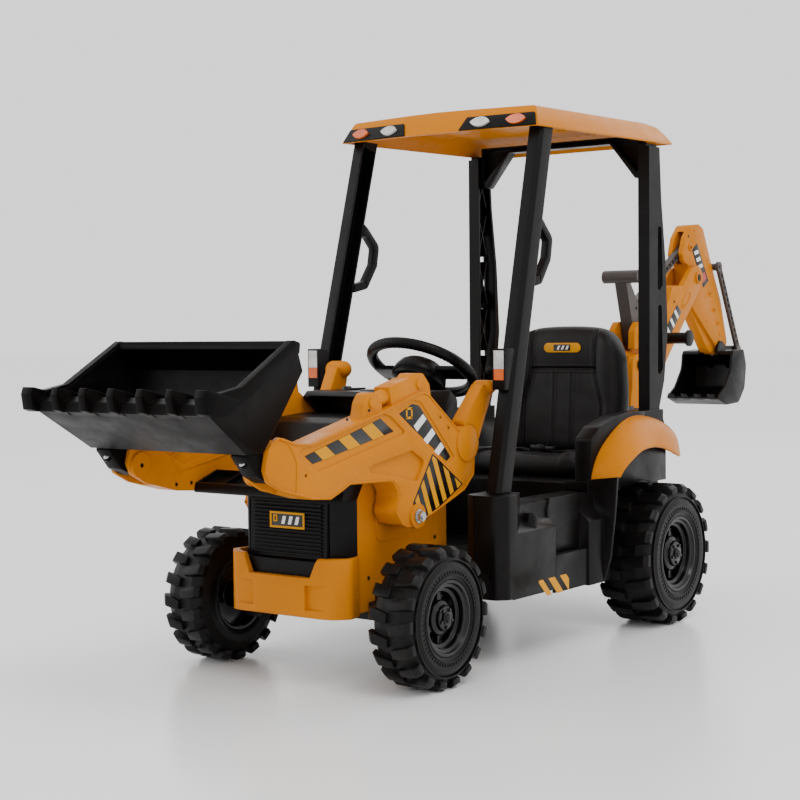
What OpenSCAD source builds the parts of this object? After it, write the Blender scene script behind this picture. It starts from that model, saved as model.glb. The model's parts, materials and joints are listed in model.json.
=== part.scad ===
// Child's ride-on backhoe loader, in millimetres.
// X points to the driver's left, Y to the rear, Z up. The loader is at -Y and the backhoe at +Y.
// Every outline is drawn in vehicle space, where Y = 0 is the middle of the side step, and
// vehicle() then moves it so that the origin lies under the middle of the whole machine.

/* [Wheels] */
// Distance between the front and rear axles
wheel_base = 772; // [760:1:784]
// Radius of a front tyre over its lugs
front_r = 122; // [118:0.5:122]
// Width of a front tyre
front_w = 89; // [80:1:90]
// Radius of a rear tyre over its lugs
rear_r = 143.5; // [138:0.5:144]
// Width of a rear tyre
rear_w = 121; // [110:1:121]
// Distance between the outer faces of the front tyres
front_track = 556; // [552:1:560]
// Distance between the outer faces of the rear tyres
rear_track = 639; // [636:1:642]
// Number of lugs on each shoulder of a tyre
lug_count = 18; // [14:1:22]
// Radius of the steel axles
axle_r = 6; // [5:0.5:6.5]

/* [Body] */
// Half width of the bonnet
hood_x = 118; // [110:1:118]
// Height of the footwell floor
floor_z = 180; // [170:1:185]
// Thickness of the moulded plastic walls
wall = 4; // [3:0.5:5]
// Distance from the centre plane to the outside of the side panels
panel_x = 268; // [262:1:270]
// Half width of the seat
seat_x = 146; // [135:1:150]

/* [Cab] */
// Height of the roof's lower edge
roof_z = 985; // [970:1:990]
// Half width of the roof
roof_x = 231; // [228:1:234]
// Height of the roof shell
roof_h = 41; // [36:1:44]

/* [Steering] */
// Radius of the steering wheel to the middle of its rim
wheel_ring_r = 100.5; // [90:0.5:102]
// Radius of the steering wheel's rim section
wheel_tube_r = 10.5; // [8:0.5:11]
// Lean of the steering shaft from the vertical, in degrees
steer_tilt = 30; // [29:0.5:31]

/* [Loader] */
// Distance from the centre plane to the inside of an arm
arm_in = 125; // [124:0.5:126]
// Distance from the centre plane to the outside of an arm
arm_out = 172; // [170:0.5:173]
// Half width of the bucket at its rim
bucket_x = 185; // [180:1:192]
// Radius of the arm's pivot bolt
bolt_r = 6; // [5:0.5:6.5]

/* [Backhoe] */
// Half thickness of the dipper stick
stick_x = 20; // [18:0.5:20.5]
// Half width of the digging bucket
dig_x = 70; // [60:1:75]

/* [Hidden] */
$fn = 64;
fit = 0.06;                            // radial clearance of a running fit
gap = 0.4;                             // side clearance between moving pieces
shift_y = -114.6;                      // from vehicle space to the middle of the machine
front_y = -482.5;                      // front axle
rear_y = front_y + wheel_base;         // rear axle
king_x = 160;                          // steering pivot of a front wheel
arm_pivot = [-430, 284];               // (y, z) of the loader arms' pivot
tilt_pivot = [-800, 398];              // loader bucket's pivot
wheel_c = [-168, 534];                 // steering wheel's centre
swing_y = 650;                         // backhoe's upright swing axis
foot_pivot = [650, 520];               // boom on the swing column
lever_pivot = [690, 577];              // T lever on the boom
tip_pivot = [963, 728];                // stick on the boom
handle_c = [748, 581];                 // boom handle
dig_pivot = [1113, 552];               // digging bucket on the stick
head_pin = [950, 803];                 // lever link on the stick's head
rocker_pivot = [999, 765];             // rocker in the stick's head
rocker_arm = [91, -7];                 // from the rocker's pivot to its pin
lever_pin = lever_pivot + head_pin - tip_pivot;
rocker_pin = rocker_pivot + rocker_arm;
ear_pin = dig_pivot + rocker_arm;

orange = "orange";
black = [0.12, 0.12, 0.12];
dark = [0.2, 0.2, 0.2];
steel = "silver";
grey = "gray";

// ---- helpers ----
function unit(v) = v / norm(v);
// One corner b of an outline, between a and c, rounded by the radius in b's third number
function corner(a, b, c, n) =
    len(b) < 3 ? [[b[0], b[1]]] :
    let (p = [b[0], b[1]], u = unit([a[0], a[1]] - p), v = unit([c[0], c[1]] - p),
        half = acos(u * v) / 2, m = p + unit(u + v) * b[2] / sin(half),
        s = p + u * b[2] / tan(half) - m, e = p + v * b[2] / tan(half) - m,
        a0 = atan2(s[1], s[0]), d = atan2(e[1], e[0]) - a0,
        turn = d > 180 ? d - 360 : d < -180 ? d + 360 : d)
    [for (k = [0:n]) m + b[2] * [cos(a0 + turn * k / n), sin(a0 + turn * k / n)]];
// An outline whose points may carry a corner radius
function rounded(p, n = 4) = [for (i = [0:len(p) - 1])
    each corner(p[(i + len(p) - 1) % len(p)], p[i], p[(i + 1) % len(p)],
        len(p[i]) > 2 ? max(n, ceil(p[i][2] / 14)) : n)];

module vehicle() translate([0, shift_y, 0]) children();
module mirrored(on = true) mirror([on ? 1 : 0, 0, 0]) children();
module pair() { children(); mirror([1, 0, 0]) children(); }
// A side-view outline of (y, z) points, thick from x0 to x1
module slab(x0, x1, p) translate([x0, 0, 0]) rotate([90, 0, 90]) linear_extrude(x1 - x0)
    polygon(rounded(p));
// A plan outline of (x, y) points, from z0 to z1
module plan(z0, z1, p) translate([0, 0, z0]) linear_extrude(z1 - z0) polygon(rounded(p));
// A front-view outline of (x, z) points, from y0 to y1
module front(y0, y1, p) translate([0, y1, 0]) rotate([90, 0, 0]) linear_extrude(y1 - y0)
    polygon(rounded(p));
module box(x0, x1, y0, y1, z0, z1) translate([x0, y0, z0]) cube([x1 - x0, y1 - y0, z1 - z0]);
// A rod along X through the (y, z) point c
module rod_x(x0, x1, r, c) translate([x0, c[0], c[1]]) rotate([0, 90, 0]) cylinder(h = x1 - x0, r = r);
module rod_z(z0, z1, r, x, y) translate([x, y, z0]) cylinder(h = z1 - z0, r = r);
// Moves children so that Z runs along the steering shaft, up from d below the wheel's centre
module along_shaft(d = 0) translate([0, wheel_c[0], wheel_c[1]]) rotate([-steer_tilt, 0, 0])
    translate([0, 0, -d]) children();

// ---- chassis and body ----
module chassis() color(black) vehicle() difference() {
    union() {
        // floor pan, notched round the bonnet's rear
        plan(118, floor_z, [[-176, 75], [-176, -290], [-hood_x - 0.4, -290], [-hood_x - 0.4, -261.6],
            [hood_x + 0.4, -261.6], [hood_x + 0.4, -290], [176, -290], [176, 75]]);
        box(-176, 176, 70, 470, 118, 300);
        pair() box(40, 60, -560, -259, 137.2, 170);
        box(-60, 60, -560, -540, 137.2, 170);
        box(-60, 60, -372, -340, 180, 214);
        pair() box(40, 60, -372, -340, 160, 200);
        pair() box(60, 84, -452, -408, 137.2, 300);
        pair() box(40, 84, -452, -408, 137.2, 160);
        rod_x(-123.5, 123.5, 15, arm_pivot);
        box(-70, 70, 465, 560, 220, 430);
        for (x = [-122, -60]) slab(x, x + 4, [[-208, 179], [-206, 197, 3], [-194, 197, 3], [-192, 179]]);
    }
    rod_x(-130, -50, 2.5 + fit, [-200, 190]);
    plan(117, floor_z - wall, [[-176 + wall, 66], [-176 + wall, -290 + wall],
        [-hood_x - wall - 0.4, -290 + wall], [-hood_x - wall - 0.4, -261.6 + wall],
        [hood_x + wall + 0.4, -261.6 + wall], [hood_x + wall + 0.4, -290 + wall],
        [176 - wall, -290 + wall], [176 - wall, 66]]);
    box(-176 + wall, 176 - wall, 90, 220, 117, 296);
    box(-80, 80, 224, 420, 166, 301);
    pair() box(100, 177, 224, 440, 117, 240);
    box(-80, 80, 224, 420, 117, 128);
    box(-62, 62, 473, 561, 217, 422);
    rod_x(-200, 200, axle_r, [rear_y, rear_r]);
    rod_x(-130, 130, bolt_r, arm_pivot);
    along_shaft(420) cylinder(h = 120, r = axle_r + fit);
}

module hood() color(orange) vehicle() difference() {
    union() {
        slab(-hood_x, hood_x, [[-530, 122], [-530, 318], [-462, 424, 12], [-262, 424], [-262, 122]]);
        pair() slab(hood_x - 1, hood_x + 3, [[-478, 240, 12], [-478, 330, 20], [-385, 330, 20],
            [-385, 240, 12]]);
    }
    box(-hood_x + wall, hood_x - wall, -531, -266, 121, 425);
    rod_x(-130, 130, 15 + fit, arm_pivot);
    box(-61, 61, -270, -260, 121, 172);
    // room for the front axle beam and the track rod
    box(-130, 130, -500.5, -464.5, 121, 137.5);
    box(-130, 130, front_y + 56, front_y + 68, 121, 128);
    along_shaft(300) cylinder(h = 150, r = 8);
}

module hood_top() color(black) vehicle() difference() {
    slab(-hood_x, hood_x, [[-572, 318.5], [-566, 336, 8], [-478, 444, 16], [-455, 452, 12], [-388, 456],
        [-262, 456], [-262, 424.2], [-462.4, 424.2], [-530, 318.5]]);
    slab(-hood_x + 12, hood_x - 12, [[-552, 318], [-552, 330], [-468, 436], [-270, 444],
        [-270, 424], [-462, 424], [-528, 318]]);
    // air slots across the slope
    for (i = [0:4]) translate([0, -546 + i * 16, 352 + i * 19]) rotate([-39, 0, 0])
        cube([150, 4, 8], center = true);
}

rib_pitch = 6.6;
module grille() color(black) vehicle() difference() {
    union() {
        plan(214, 318, [[-hood_x, -530.2], [-96, -571, 10], [96, -571, 10], [hood_x, -530.2]]);
        front(-586, -530.2, [[-86, 214.2], [-64, 186], [64, 186], [86, 214.2]]);
        slab(-86, 86, [[-574, 216], [-572, 316], [-560, 316], [-560, 216]]);
        for (z = [222:rib_pitch:312]) slab(-76, 76, [[-577, z], [-577, z + 3.2], [-570, z + 4],
            [-570, z - 1]]);
    }
    plan(213, 319, [[-hood_x + wall, -529], [-90, -563], [90, -563], [hood_x - wall, -529]]);
    front(-575, -529, [[-78, 216], [-58, 192], [58, 192], [78, 216]]);
    pair() box(87, 90, -590, -555, 220, 314);
    // flat for the maker's plate
    box(-40, 40, -590, -575, 266, 296);
}

bumper_side = [[-606, 119, 10], [-602, 205, 12], [-594, 222, 5], [-531, 222], [-531, 119]];
module bumper() color(orange) vehicle() difference() {
    intersection() {
        slab(-140, 140, bumper_side);
        plan(110, 230, [[-hood_x - 4, -531], [-134, -566, 14], [-112, -592, 26], [0, -612, 240],
            [112, -592, 26], [134, -566, 14], [hood_x + 4, -531]]);
    }
    front(-620, -575, [[-86, 232], [-68, 188], [68, 188], [86, 232]]);
    plan(124, 240, [[-hood_x - 1, -530], [-122, -562], [-104, -580, 20], [104, -580, 20], [122, -562],
        [hood_x + 1, -530]]);
    box(-96, 96, -588, -529, 180, 240);
    for (x = [-84, 0, 84]) translate([x, abs(x) > 1 ? -599 : -611, 154]) cube([52, 9, 42], center = true);
}

module side_panel() difference() {
    union() {
        // front corner box under the windscreen pillar
        plan(124, 310, [[184, -289], [204, -302, 6], [249, -302, 22], [panel_x, -284, 14],
            [panel_x, -256, 6], [248, -214], [184, -214]]);
        slab(176.2, 246, [[-240, 124], [-240, 286], [60, 286, 4], [66, 280], [66, 112], [11, 113]]);
        // mudguard in front of the rear tyre
        front(61, 68, [[232, 310], [298, 318], [292, 240], [282, 160], [panel_x, 112], [232, 112]]);
        slab(232, 266, [[60, 112], [60, 236], [72, 236], [92, 114, 8]]);
        // tank box with a sloping lid
        front(-256, -117, [[238, 122], [238, 264], [panel_x - 2, 240], [panel_x - 2, 122]]);
        plan(122, 239, [[238, -256], [panel_x, -268], [panel_x, -124], [260, -117], [238, -117]]);
        // step and rear box
        box(238, panel_x - 4, -119.5, 8, 114, 184);
        front(3, 66, [[238, 112], [238, 266], [panel_x, 236], [panel_x, 112]]);
        rod_z(240, 266, 13, 251, -184);
        rod_z(262, 270, 9, 251, -184);
        slab(240, 250, [[-122, 268], [-112, 290], [-8, 290], [-2, 264], [-14, 186], [-100, 186]]);
    }
    // hollow inside, open at the bottom
    plan(123, 304, [[189, -285], [206, -296], [246, -296], [panel_x - 5, -281], [panel_x - 5, -260],
        [244, -220],
        [189, -220]]);
    slab(189, 241, [[-241, 111], [-241, 280], [56, 280], [56, 111]]);
    plan(110, 234, [[240, -250], [panel_x - 5, -261], [panel_x - 5, -128], [256, -122], [240, -122]]);
    box(240, panel_x - 9, -122, 4, 110, 179);
    front(8, 56, [[240, 110], [240, 258], [panel_x - 5, 230], [panel_x - 5, 110]]);
    box(244, panel_x - 8, 56, 62, 110, 226);
    // tread grooves on the step
    for (x = [244:5:260]) box(x, x + 2, -94, 0, 182.5, 185);
}
module side_panel_left() color(black) vehicle() side_panel();
module side_panel_right() color(black) vehicle() mirrored() side_panel();

module dashboard() color(black) vehicle() difference() {
    slab(-hood_x, hood_x, [[-388, 484, 3], [-374, 496, 4], [-246, 496, 8], [-222, 478, 8],
        [-222, 330], [-261.8, 330], [-261.8, 456.2], [-350, 456.2]]);
    box(-104, 104, -392, -330, 464, 487);
    box(-hood_x + 8, hood_x - 8, -254, -230, 329, 448);
    along_shaft(200) cylinder(h = 200, r = axle_r + fit);
}

module foot_pedal() color(dark) vehicle() difference() {
    union() {
        slab(-116, -62, [[-194, 192, 3], [-202, 184, 3], [-248, 226, 3], [-243, 231, 3]]);
        rod_x(-121.5, -56.5, 2.5, [-200, 190]);
    }
    for (k = [0:3]) translate([-89, -215 - k * 8, 206 + k * 8]) rotate([45, 0, 0])
        cube([44, 4, 2], center = true);
}

module battery() color(dark) vehicle() {
    box(-47, 47, 240, 391, 167, 262);
    pair() box(20, 32, 252, 264, 262, 268);
}

module drive_motors() color(dark) vehicle() pair() difference() {
    union() {
        slab(122, 168, [[250, 122, 8], [250, 196, 12], [330, 214, 16], [410, 214, 12], [410, 160, 12],
            [330, 122, 12]]);
        rod_x(168, rear_track / 2 - rear_w - gap, 34, [rear_y, rear_r]);
        rod_x(102, 122, 22, [380, 188]);
    }
    rod_x(100, 210, axle_r + 0.3, [rear_y, rear_r]);
}

module rear_axle() color(steel) vehicle()
    rod_x(-rear_track / 2 + 12, rear_track / 2 - 12, axle_r, [rear_y, rear_r]);

// ---- seat ----
module seat_cushion() color(black) vehicle()
    slab(-seat_x, seat_x, [[168, 300.3], [160, 325, 14], [176, 352, 16], [347, 346, 10], [347, 300.3]]);
module seat_back() color(black) vehicle() intersection() {
    slab(-seat_x, seat_x, [[347.3, 332], [347.3, 352], [366, 600, 20], [396, 616, 16], [420, 600, 12],
        [410, 340], [398, 332]]);
    front(300, 430, [[-seat_x, 330], [-seat_x, 520], [-seat_x + 6, 590, 60], [0, 622, 400],
        [seat_x - 6, 590, 60], [seat_x, 520], [seat_x, 330]]);
}
module seat_belt() color(dark) vehicle() {
    pair() slab(70, 110, [[338, 352.3], [338, 356, 2], [280, 362, 2], [250, 356, 2], [250, 353, 1]]);
    box(-32, 32, 262, 300, 354, 366);
    pair() slab(30, 72, [[290, 354.4], [290, 359], [272, 361], [272, 356.4]]);
}

// ---- rear arches ----
module armrest() difference() {
    union() {
        slab(195, 232, [[78, 284], [78, 388, 14], [112, 411, 40], [184, 429, 100], [262, 435, 150],
            [340, 432, 80],
            [392, 410, 20], [398, 370], [398, 284]]);
        slab(176.2, 232, [[72, 286], [72, 304], [398, 304], [398, 286]]);
    }
    slab(200, 226, [[84, 283], [84, 378], [180, 402], [386, 402], [392, 368], [392, 283]]);
    slab(190, 201, [[110, 283], [110, 304.1], [386, 304.1], [386, 283]]);
    // room for the rear tyre
    rod_x(190, 240, rear_r + 3, [rear_y, rear_r]);
    rear_pillar_block(0.3);
}
module armrest_left() color(black) vehicle() armrest();
module armrest_right() color(black) vehicle() mirrored() armrest();

// Side-view outlines of the fender at the body, half way out and at its lip
fender_in = [[74, 303], [84, 332], [109, 364], [154, 395], [211, 420], [267, 428], [330, 419],
    [385, 399], [420, 372],
    [433, 335]];
fender_mid = [[70, 309], [112, 358], [158, 386], [211, 402], [262, 408], [304, 405], [350, 392],
    [381, 374], [391, 338]];
fender_lip = [[73, 316], [119, 345], [166, 364], [214, 369], [270, 361], [330, 341]];
// An outline drawn in by d towards the middle of the arch
function drawn_in(p, d) = [for (q = p) q + d * unit([235, 290] - q)];
module fender() difference() {
    hull() {
        slab(232.1, 236, fender_in);
        slab(268, 274, fender_mid);
        slab(298, 300, fender_lip);
    }
    hull() {
        slab(232, 236, drawn_in(fender_in, 5));
        slab(266, 272, drawn_in(fender_mid, 6));
        slab(299, 306, drawn_in(fender_lip, 5));
        box(232, 270, 90, 400, 290, 300);
    }
}
module fender_left() color(orange) vehicle() fender();
module fender_right() color(orange) vehicle() mirrored() fender();

// ---- cab ----
pillar_base = [224, -246.5, 300];
pillar_lean = 14.8;
pillar_in = 1.1;
pillar_len = 708;
module at_pillar() translate(pillar_base) rotate([-pillar_lean, -pillar_in, 0]) children();
pillar_plan = [[-14, -23], [8, -23, 5], [14, -16, 6], [14, 16, 6], [8, 23, 5], [-14, 23]];
module front_pillar() difference() {
    at_pillar() {
        difference() {
            translate([0, 0, -6]) linear_extrude(pillar_len + 20) polygon(rounded(pillar_plan));
            translate([-14.1, -19, 60]) cube([24, 38, pillar_len - 70]);
        }
        // crossed ribs inside the channel
        intersection() {
            translate([-12, -20, 59]) cube([22, 40, pillar_len - 68]);
            for (i = [0:5], s = [-1, 1]) translate([-1, 0, 112 + i * 106]) rotate([s * 69, 0, 0])
                cube([24, 112, 2.4], center = true);
            for (i = [0:5]) translate([-14, -20, 58 + i * 106]) cube([28, 40, 2.4]);
        }
    }
    box(150, 260, -300, 100, roof_z + 4, 1100);
    box(150, 260, -300, -200, 200, 311.2);
}
module front_pillar_left() color(black) vehicle() front_pillar();
module front_pillar_right() color(black) vehicle() mirrored() front_pillar();

rear_pillar_side = [[336, 420], [338, 992], [385, 992], [393, 876], [411, 750, 60], [420, 600, 60],
    [404, 495, 60], [382, 440], [382, 420]];
module rear_pillar_block(extra) box(192 - extra, 232 + extra, 304 - extra, 386 + extra, 408, 445);
module rear_pillar() difference() {
    union() {
        slab(200, 226, rear_pillar_side);
        box(192, 232, 304, 386, 408, 434);
    }
    box(219, 240, 300, 400, roof_z + 1, 1000);
    slab(199, 221, [[342, 446], [344, 980], [379, 980], [387, 876], [403, 750], [404, 600], [388, 495],
        [372, 446]]);
    for (s = [[500, 655], [677, 820]]) slab(190, 230, [[374, s[0], 7], [376, s[1], 7], [392, s[1], 7],
        [398, s[0] + 20, 7]]);
}
module rear_pillar_ribs() intersection() {
    slab(202, 222, [[338, 446], [340, 980], [372, 980], [372, 446]]);
    for (i = [0:4], s = [-1, 1]) translate([212, 356, 500 + i * 106]) rotate([s * 70, 0, 0])
        cube([22, 112, 2.4], center = true);
}
module rear_pillar_left() color(black) vehicle() { rear_pillar(); rear_pillar_ribs(); }
module rear_pillar_right() color(black) vehicle() mirrored() { rear_pillar(); rear_pillar_ribs(); }

handle_side = [[-100, 834], [-71, 814, 14], [-35, 780, 16], [-43, 738, 10], [-77, 692, 14], [-129, 682]];
module grab_handles() color(black) vehicle() pair() difference() {
    slab(199, 215, handle_side);
    slab(198, 216, [[-98, 800], [-74, 796, 6], [-52, 774, 6], [-58, 742, 6], [-84, 708, 6], [-120, 700]]);
    at_pillar() translate([-30, -60, 300]) cube([60, 83.2, 420]);
}

roof_front = -122;
roof_len = 556;
roof_lean = 1.03;
fascia_lean = 30;
fascia_sweep = 5.4;
module at_roof() translate([0, roof_front, roof_z]) rotate([roof_lean, 0, 0]) children();
// Half of the sloping front: x runs outwards from the middle panel, z up the slope
module at_fascia() at_roof() translate([62, -8, 0]) rotate([0, 0, fascia_sweep]) rotate([-fascia_lean,
    0, 0]) children();
module roof_solid(d, z0) difference() {
    intersection() {
        front(-30, roof_len, [[-roof_x + d, z0], [-roof_x + d, 3], [-roof_x + d + 17, roof_h - d, 10],
            [0, roof_h - d + 3, 400],
            [roof_x - d - 17, roof_h - d, 10], [roof_x - d, 3], [roof_x - d, z0]]);
        slab(-roof_x, roof_x, [[-30, z0], [-30, roof_h - d + 4], [420, roof_h - d + 4, 300],
            [512 - d, 34 - d, 40], [536 - d, 20, 20],
            [552 - d, 6], [roof_len - d, z0]]);
    }
    for (s = [0, 1]) mirrored(s > 0) translate([62, -8, 0]) rotate([0, 0,
        fascia_sweep]) rotate([-fascia_lean, 0, 0])
        translate([-70, -80 + d, -30]) cube([320, 80, 120]);
    translate([0, -8, 0]) rotate([-fascia_lean, 0, 0]) translate([-80, -80 + d, -30]) cube([160, 80, 120]);
}
module roof() color(orange) vehicle() at_roof() difference() {
    roof_solid(0, 0);
    roof_solid(wall + 1, -1);
}

module roof_crossbeam() color(black) vehicle() difference() {
    front(350, 378, [[-199.8, 922], [-199.8, 1011], [199.8, 1011], [199.8, 922], [186, 922], [126, 997],
        [-126, 997], [-186, 922]]);
    front(345, 373, [[-195, 940], [-195, 1007], [195, 1007], [195, 940], [189, 938], [130, 1001],
        [-130, 1001], [-189, 938]]);
}

// ---- lamps ----
module lamp_housings() color(black) vehicle() pair() {
    difference() {
        box(204, 230, -234, -200, 497, 572);
        at_pillar() translate([-40, -23.05, 0]) cube([80, 90, 500]);
        box(206.8, 228, -235, -230, 514.6, 569);
    }
    at_fascia() translate([0, -0.1, 0]) rotate([90, 0, 0]) linear_extrude(3)
        polygon(rounded([[2, 1.5], [14, 30, 3], [158, 30, 4], [166, 1.5]]));
}
module lens(x) at_fascia() translate([x, -3.1, 15.5]) rotate([90, 0, 0]) intersection() {
    translate([0, -15.5, 0]) cylinder(h = 4, r = 26);
    translate([0, 15.5, 0]) cylinder(h = 4, r = 26);
    cube([50, 21, 20], center = true);
}
module clear_lenses() color("white") vehicle() pair() {
    box(206.9, 227.9, -234.5, -230, 535.2, 568.7);
    lens(46);
}
module amber_lenses() color("orangered") vehicle() pair() {
    box(206.9, 227.9, -234.5, -230, 514.9, 534.8);
    lens(122);
}

// ---- steering ----
module steering_wheel() color(black) vehicle() along_shaft() difference() {
    union() {
        rotate_extrude() translate([wheel_ring_r, 0]) circle(r = wheel_tube_r, $fn = 32);
        translate([0, 0, -26]) cylinder(h = 34, r = 36);
        for (a = [0, 180]) rotate([0, 0, a]) translate([28, -19, -14]) cube([68, 38, 9]);
        rotate([0, 0, 90]) translate([28, -14, -14]) cube([68, 28, 9]);
        translate([0, 0, -44]) cylinder(h = 20, r = 20);
        translate([-52, 32, -6]) cylinder(h = 12, r = 9);
    }
    translate([0, 0, -60]) cylinder(h = 44, r = axle_r);
}
crank = 33.7;
shaft_end = 456;
module steering_shaft() color(steel) vehicle() {
    along_shaft(shaft_end) difference() {
        union() {
            cylinder(h = shaft_end - 16.5, r = axle_r);
            translate([-6, -8, 0]) cube([12, crank + 8, 8]);
            translate([0, crank, -24]) cylinder(h = 32, r = 4);
        }
    }
}
module tie_rod() color(steel) vehicle() difference() {
    union() {
        rod_x(-king_x + 8, king_x - 8, 5, [front_y + 62, 122]);
        box(-18, 18, front_y + 58, front_y + 66, 108, 124);
        box(-18, 18, front_y + 58, -340, 108, 113);
        pair() rod_z(101.5, 122, 4, king_x, front_y + 62);
        pair() rod_x(king_x - 12, king_x, 5, [front_y + 62, 122]);
    }
    box(-5.8, 5.8, -400, -352, 107, 114);
}
module front_axle_beam() color(dark) vehicle() {
    box(-136, 136, -500, -465, 107, 137);
    pair() {
        box(130, 136, -498, -467, 88, 156);
        for (z = [88, 146]) box(130, king_x, -498, -467, z, z + 10);
        for (z = [88, 146]) rod_z(z, z + 10, 15.5, king_x, front_y);
        rod_z(86, 158, 5, king_x, front_y);
    }
}
module knuckle() difference() {
    union() {
        rod_z(98 + gap, 146 - gap, 12, king_x, front_y);
        rod_x(king_x + 6, front_track / 2 - 12, axle_r, [front_y, front_r]);
        rod_x(king_x + 6, front_track / 2 - front_w - gap, 11, [front_y, front_r]);
        box(king_x - 9, king_x + 9, front_y + 8, front_y + 76, 101, 111);
        box(king_x - 9, king_x + 9, front_y + 8, front_y + 30, 101, 130);
    }
    rod_z(90, 150, 5 + fit, king_x, front_y);
    rod_z(100, 112, 5.6, king_x, front_y + 61);
    rod_z(100, 112, 5.6, king_x, front_y + 67);
    box(king_x - 5.6, king_x + 5.6, front_y + 61, front_y + 67, 100, 112);
}
module knuckle_left() color(dark) vehicle() knuckle();
module knuckle_right() color(dark) vehicle() mirrored() knuckle();

// ---- wheels, built with the axle along Z and z = 0 at the inner face ----
function bead_r(r) = r * 0.54;
// Section of a tyre as (radius, along axle) points, open towards the rim
function tyre_section(r, w, b) = concat(
    [[b, 10], [b, 4, 2], [b + 8, 1, 2], [r * 0.72, 0, 6], [r - 14, 8, 8], [r - 8, w * 0.28, 8],
     [r - 8, w * 0.72, 8], [r - 14, w - 8, 8], [r * 0.72, w, 6], [b + 8, w - 1, 2], [b, w - 4, 2],
         [b, w - 10],
     [b + 6, w - 10], [r - 22, w - 16, 6], [r - 15, w / 2], [r - 22, 16, 6], [b + 6, 10]]);
// One chunky lug: a slanted bar from the shoulder to the middle of the tread
module lug(r, w, pitch) translate([r - 16, 0, 0])
    rotate([90, 0, 90]) linear_extrude(17) polygon([[-pitch * 0.26, -0.5], [pitch * 0.2, -0.5],
        [pitch * 0.34, w * 0.3], [pitch * 0.34, w * 0.47], [-pitch * 0.02, w * 0.47],
            [-pitch * 0.12, w * 0.3]]);
module tyre(r, w) union() {
    rotate_extrude($fn = 72) polygon(rounded(tyre_section(r, w, bead_r(r)), 3));
    intersection() {
        rotate_extrude($fn = 72) polygon([[r - 16, 2], [r - 6, 2], [r, 10], [r, w - 10],
            [r - 6, w - 2], [r - 16, w - 2]]);
        union() for (i = [0:lug_count - 1]) {
            pitch = 2 * PI * r / lug_count;
            rotate([0, 0, (i + 0.5) * 360 / lug_count - 90]) lug(r, w, pitch);
            rotate([0, 0, i * 360 / lug_count - 90]) translate([0, 0, w]) mirror([0, 0, 1]) lug(r, w,
                pitch);
        }
    }
}
// Section of a deep-dished rim
function rim_section(b, w, a, deep) = [[a, 2, 0.5], [b * 0.32, 2, 3], [b * 0.34, w * 0.3, 3],
    [b - 8, w * 0.3, 3],
    [b - 8, 4, 2], [b - 0.3, 3, 1], [b - 0.3, w - 3.5, 1.5],
        [b - 6, w - 3.5, 2], [b - 8, w - 9, 1.5],
    [b - 13, w - 10, 1.5], [b - 15, w - 20, 2], [b - 21, w - 21, 1.5], [b - 24, w - deep, 3],
        [b * 0.48, w - deep, 3],
    [b * 0.45, w - 19, 3], [b * 0.33, w - 17, 2], [b * 0.31, w - 10, 2], [1, w - 10], [1, w - 11],
        [a, w - 11]];
module rim(r, w, deep) {
    b = bead_r(r);
    rotate_extrude($fn = 64) polygon(rounded(rim_section(b, w, axle_r + fit, deep), 3));
    for (i = [0:5]) rotate([0, 0, i * 60]) translate([b * 0.42, -6, w - deep - 1]) cube([b * 0.24, 12,
        deep - 23]);
    for (i = [0:4]) rotate([0, 0, i * 72]) translate([b * 0.24, 0, w - 11]) cylinder(h = 4, r = 3.4,
        $fn = 6);
    translate([0, 0, w - 10.5]) cylinder(h = 4, r = b * 0.14);
}
// Puts a wheel on the left side of the axle at y, with its outer face half a track out
module on_axle(y, r, track, w) translate([track / 2 - w, y, r]) rotate([0, 90, 0]) children();
module front_tyre_left() color(black) vehicle() on_axle(front_y, front_r, front_track,
    front_w) tyre(front_r, front_w);
module front_tyre_right() color(black) vehicle() mirrored() on_axle(front_y, front_r, front_track,
    front_w) tyre(front_r, front_w);
module rear_tyre_left() color(black) vehicle() on_axle(rear_y, rear_r, rear_track, rear_w) tyre(rear_r,
    rear_w);
module rear_tyre_right() color(black) vehicle() mirrored() on_axle(rear_y, rear_r, rear_track,
    rear_w) tyre(rear_r, rear_w);
module front_rim_left() color(dark) vehicle() on_axle(front_y, front_r, front_track,
    front_w) rim(front_r, front_w, 34);
module front_rim_right() color(dark) vehicle() mirrored() on_axle(front_y, front_r, front_track,
    front_w) rim(front_r, front_w, 34);
module rear_rim_left() color(dark) vehicle() on_axle(rear_y, rear_r, rear_track, rear_w) rim(rear_r,
    rear_w, 40);
module rear_rim_right() color(dark) vehicle() mirrored() on_axle(rear_y, rear_r, rear_track,
    rear_w) rim(rear_r, rear_w, 40);

// ---- loader ----
arm_side = [[-796, 444, 16], [-824, 424, 12], [-831, 392, 14], [-822, 374, 12], [-789, 357],
    [-715, 338, 20],
    [-669, 334], [-641, 344], [-617, 354, 8], [-500, 350, 20], [-480, 326, 22], [-494, 296, 18],
        [-476, 273, 12],
    [-437, 265, 24], [-338, 297], [-281, 316], [-249, 343, 6], [-247, 388, 6], [-302, 431], [-388, 494, 12],
    [-416, 500, 14], [-521, 472], [-713, 428], [-753, 431]];
strip_recess = [[-752, 410, 4], [-742, 420, 3], [-525, 467, 6], [-504, 462, 8], [-458, 431, 4],
    [-700, 382, 3]];
lower_recess = [[-590, 372, 6], [-548, 383, 6], [-442, 399, 6], [-404, 378, 8], [-426, 344, 10],
    [-500, 360, 6]];
badge_recess = [[-488, 470, 3], [-436, 487, 8], [-414, 482, 8], [-310, 378, 4], [-338, 368, 3]];
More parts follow.
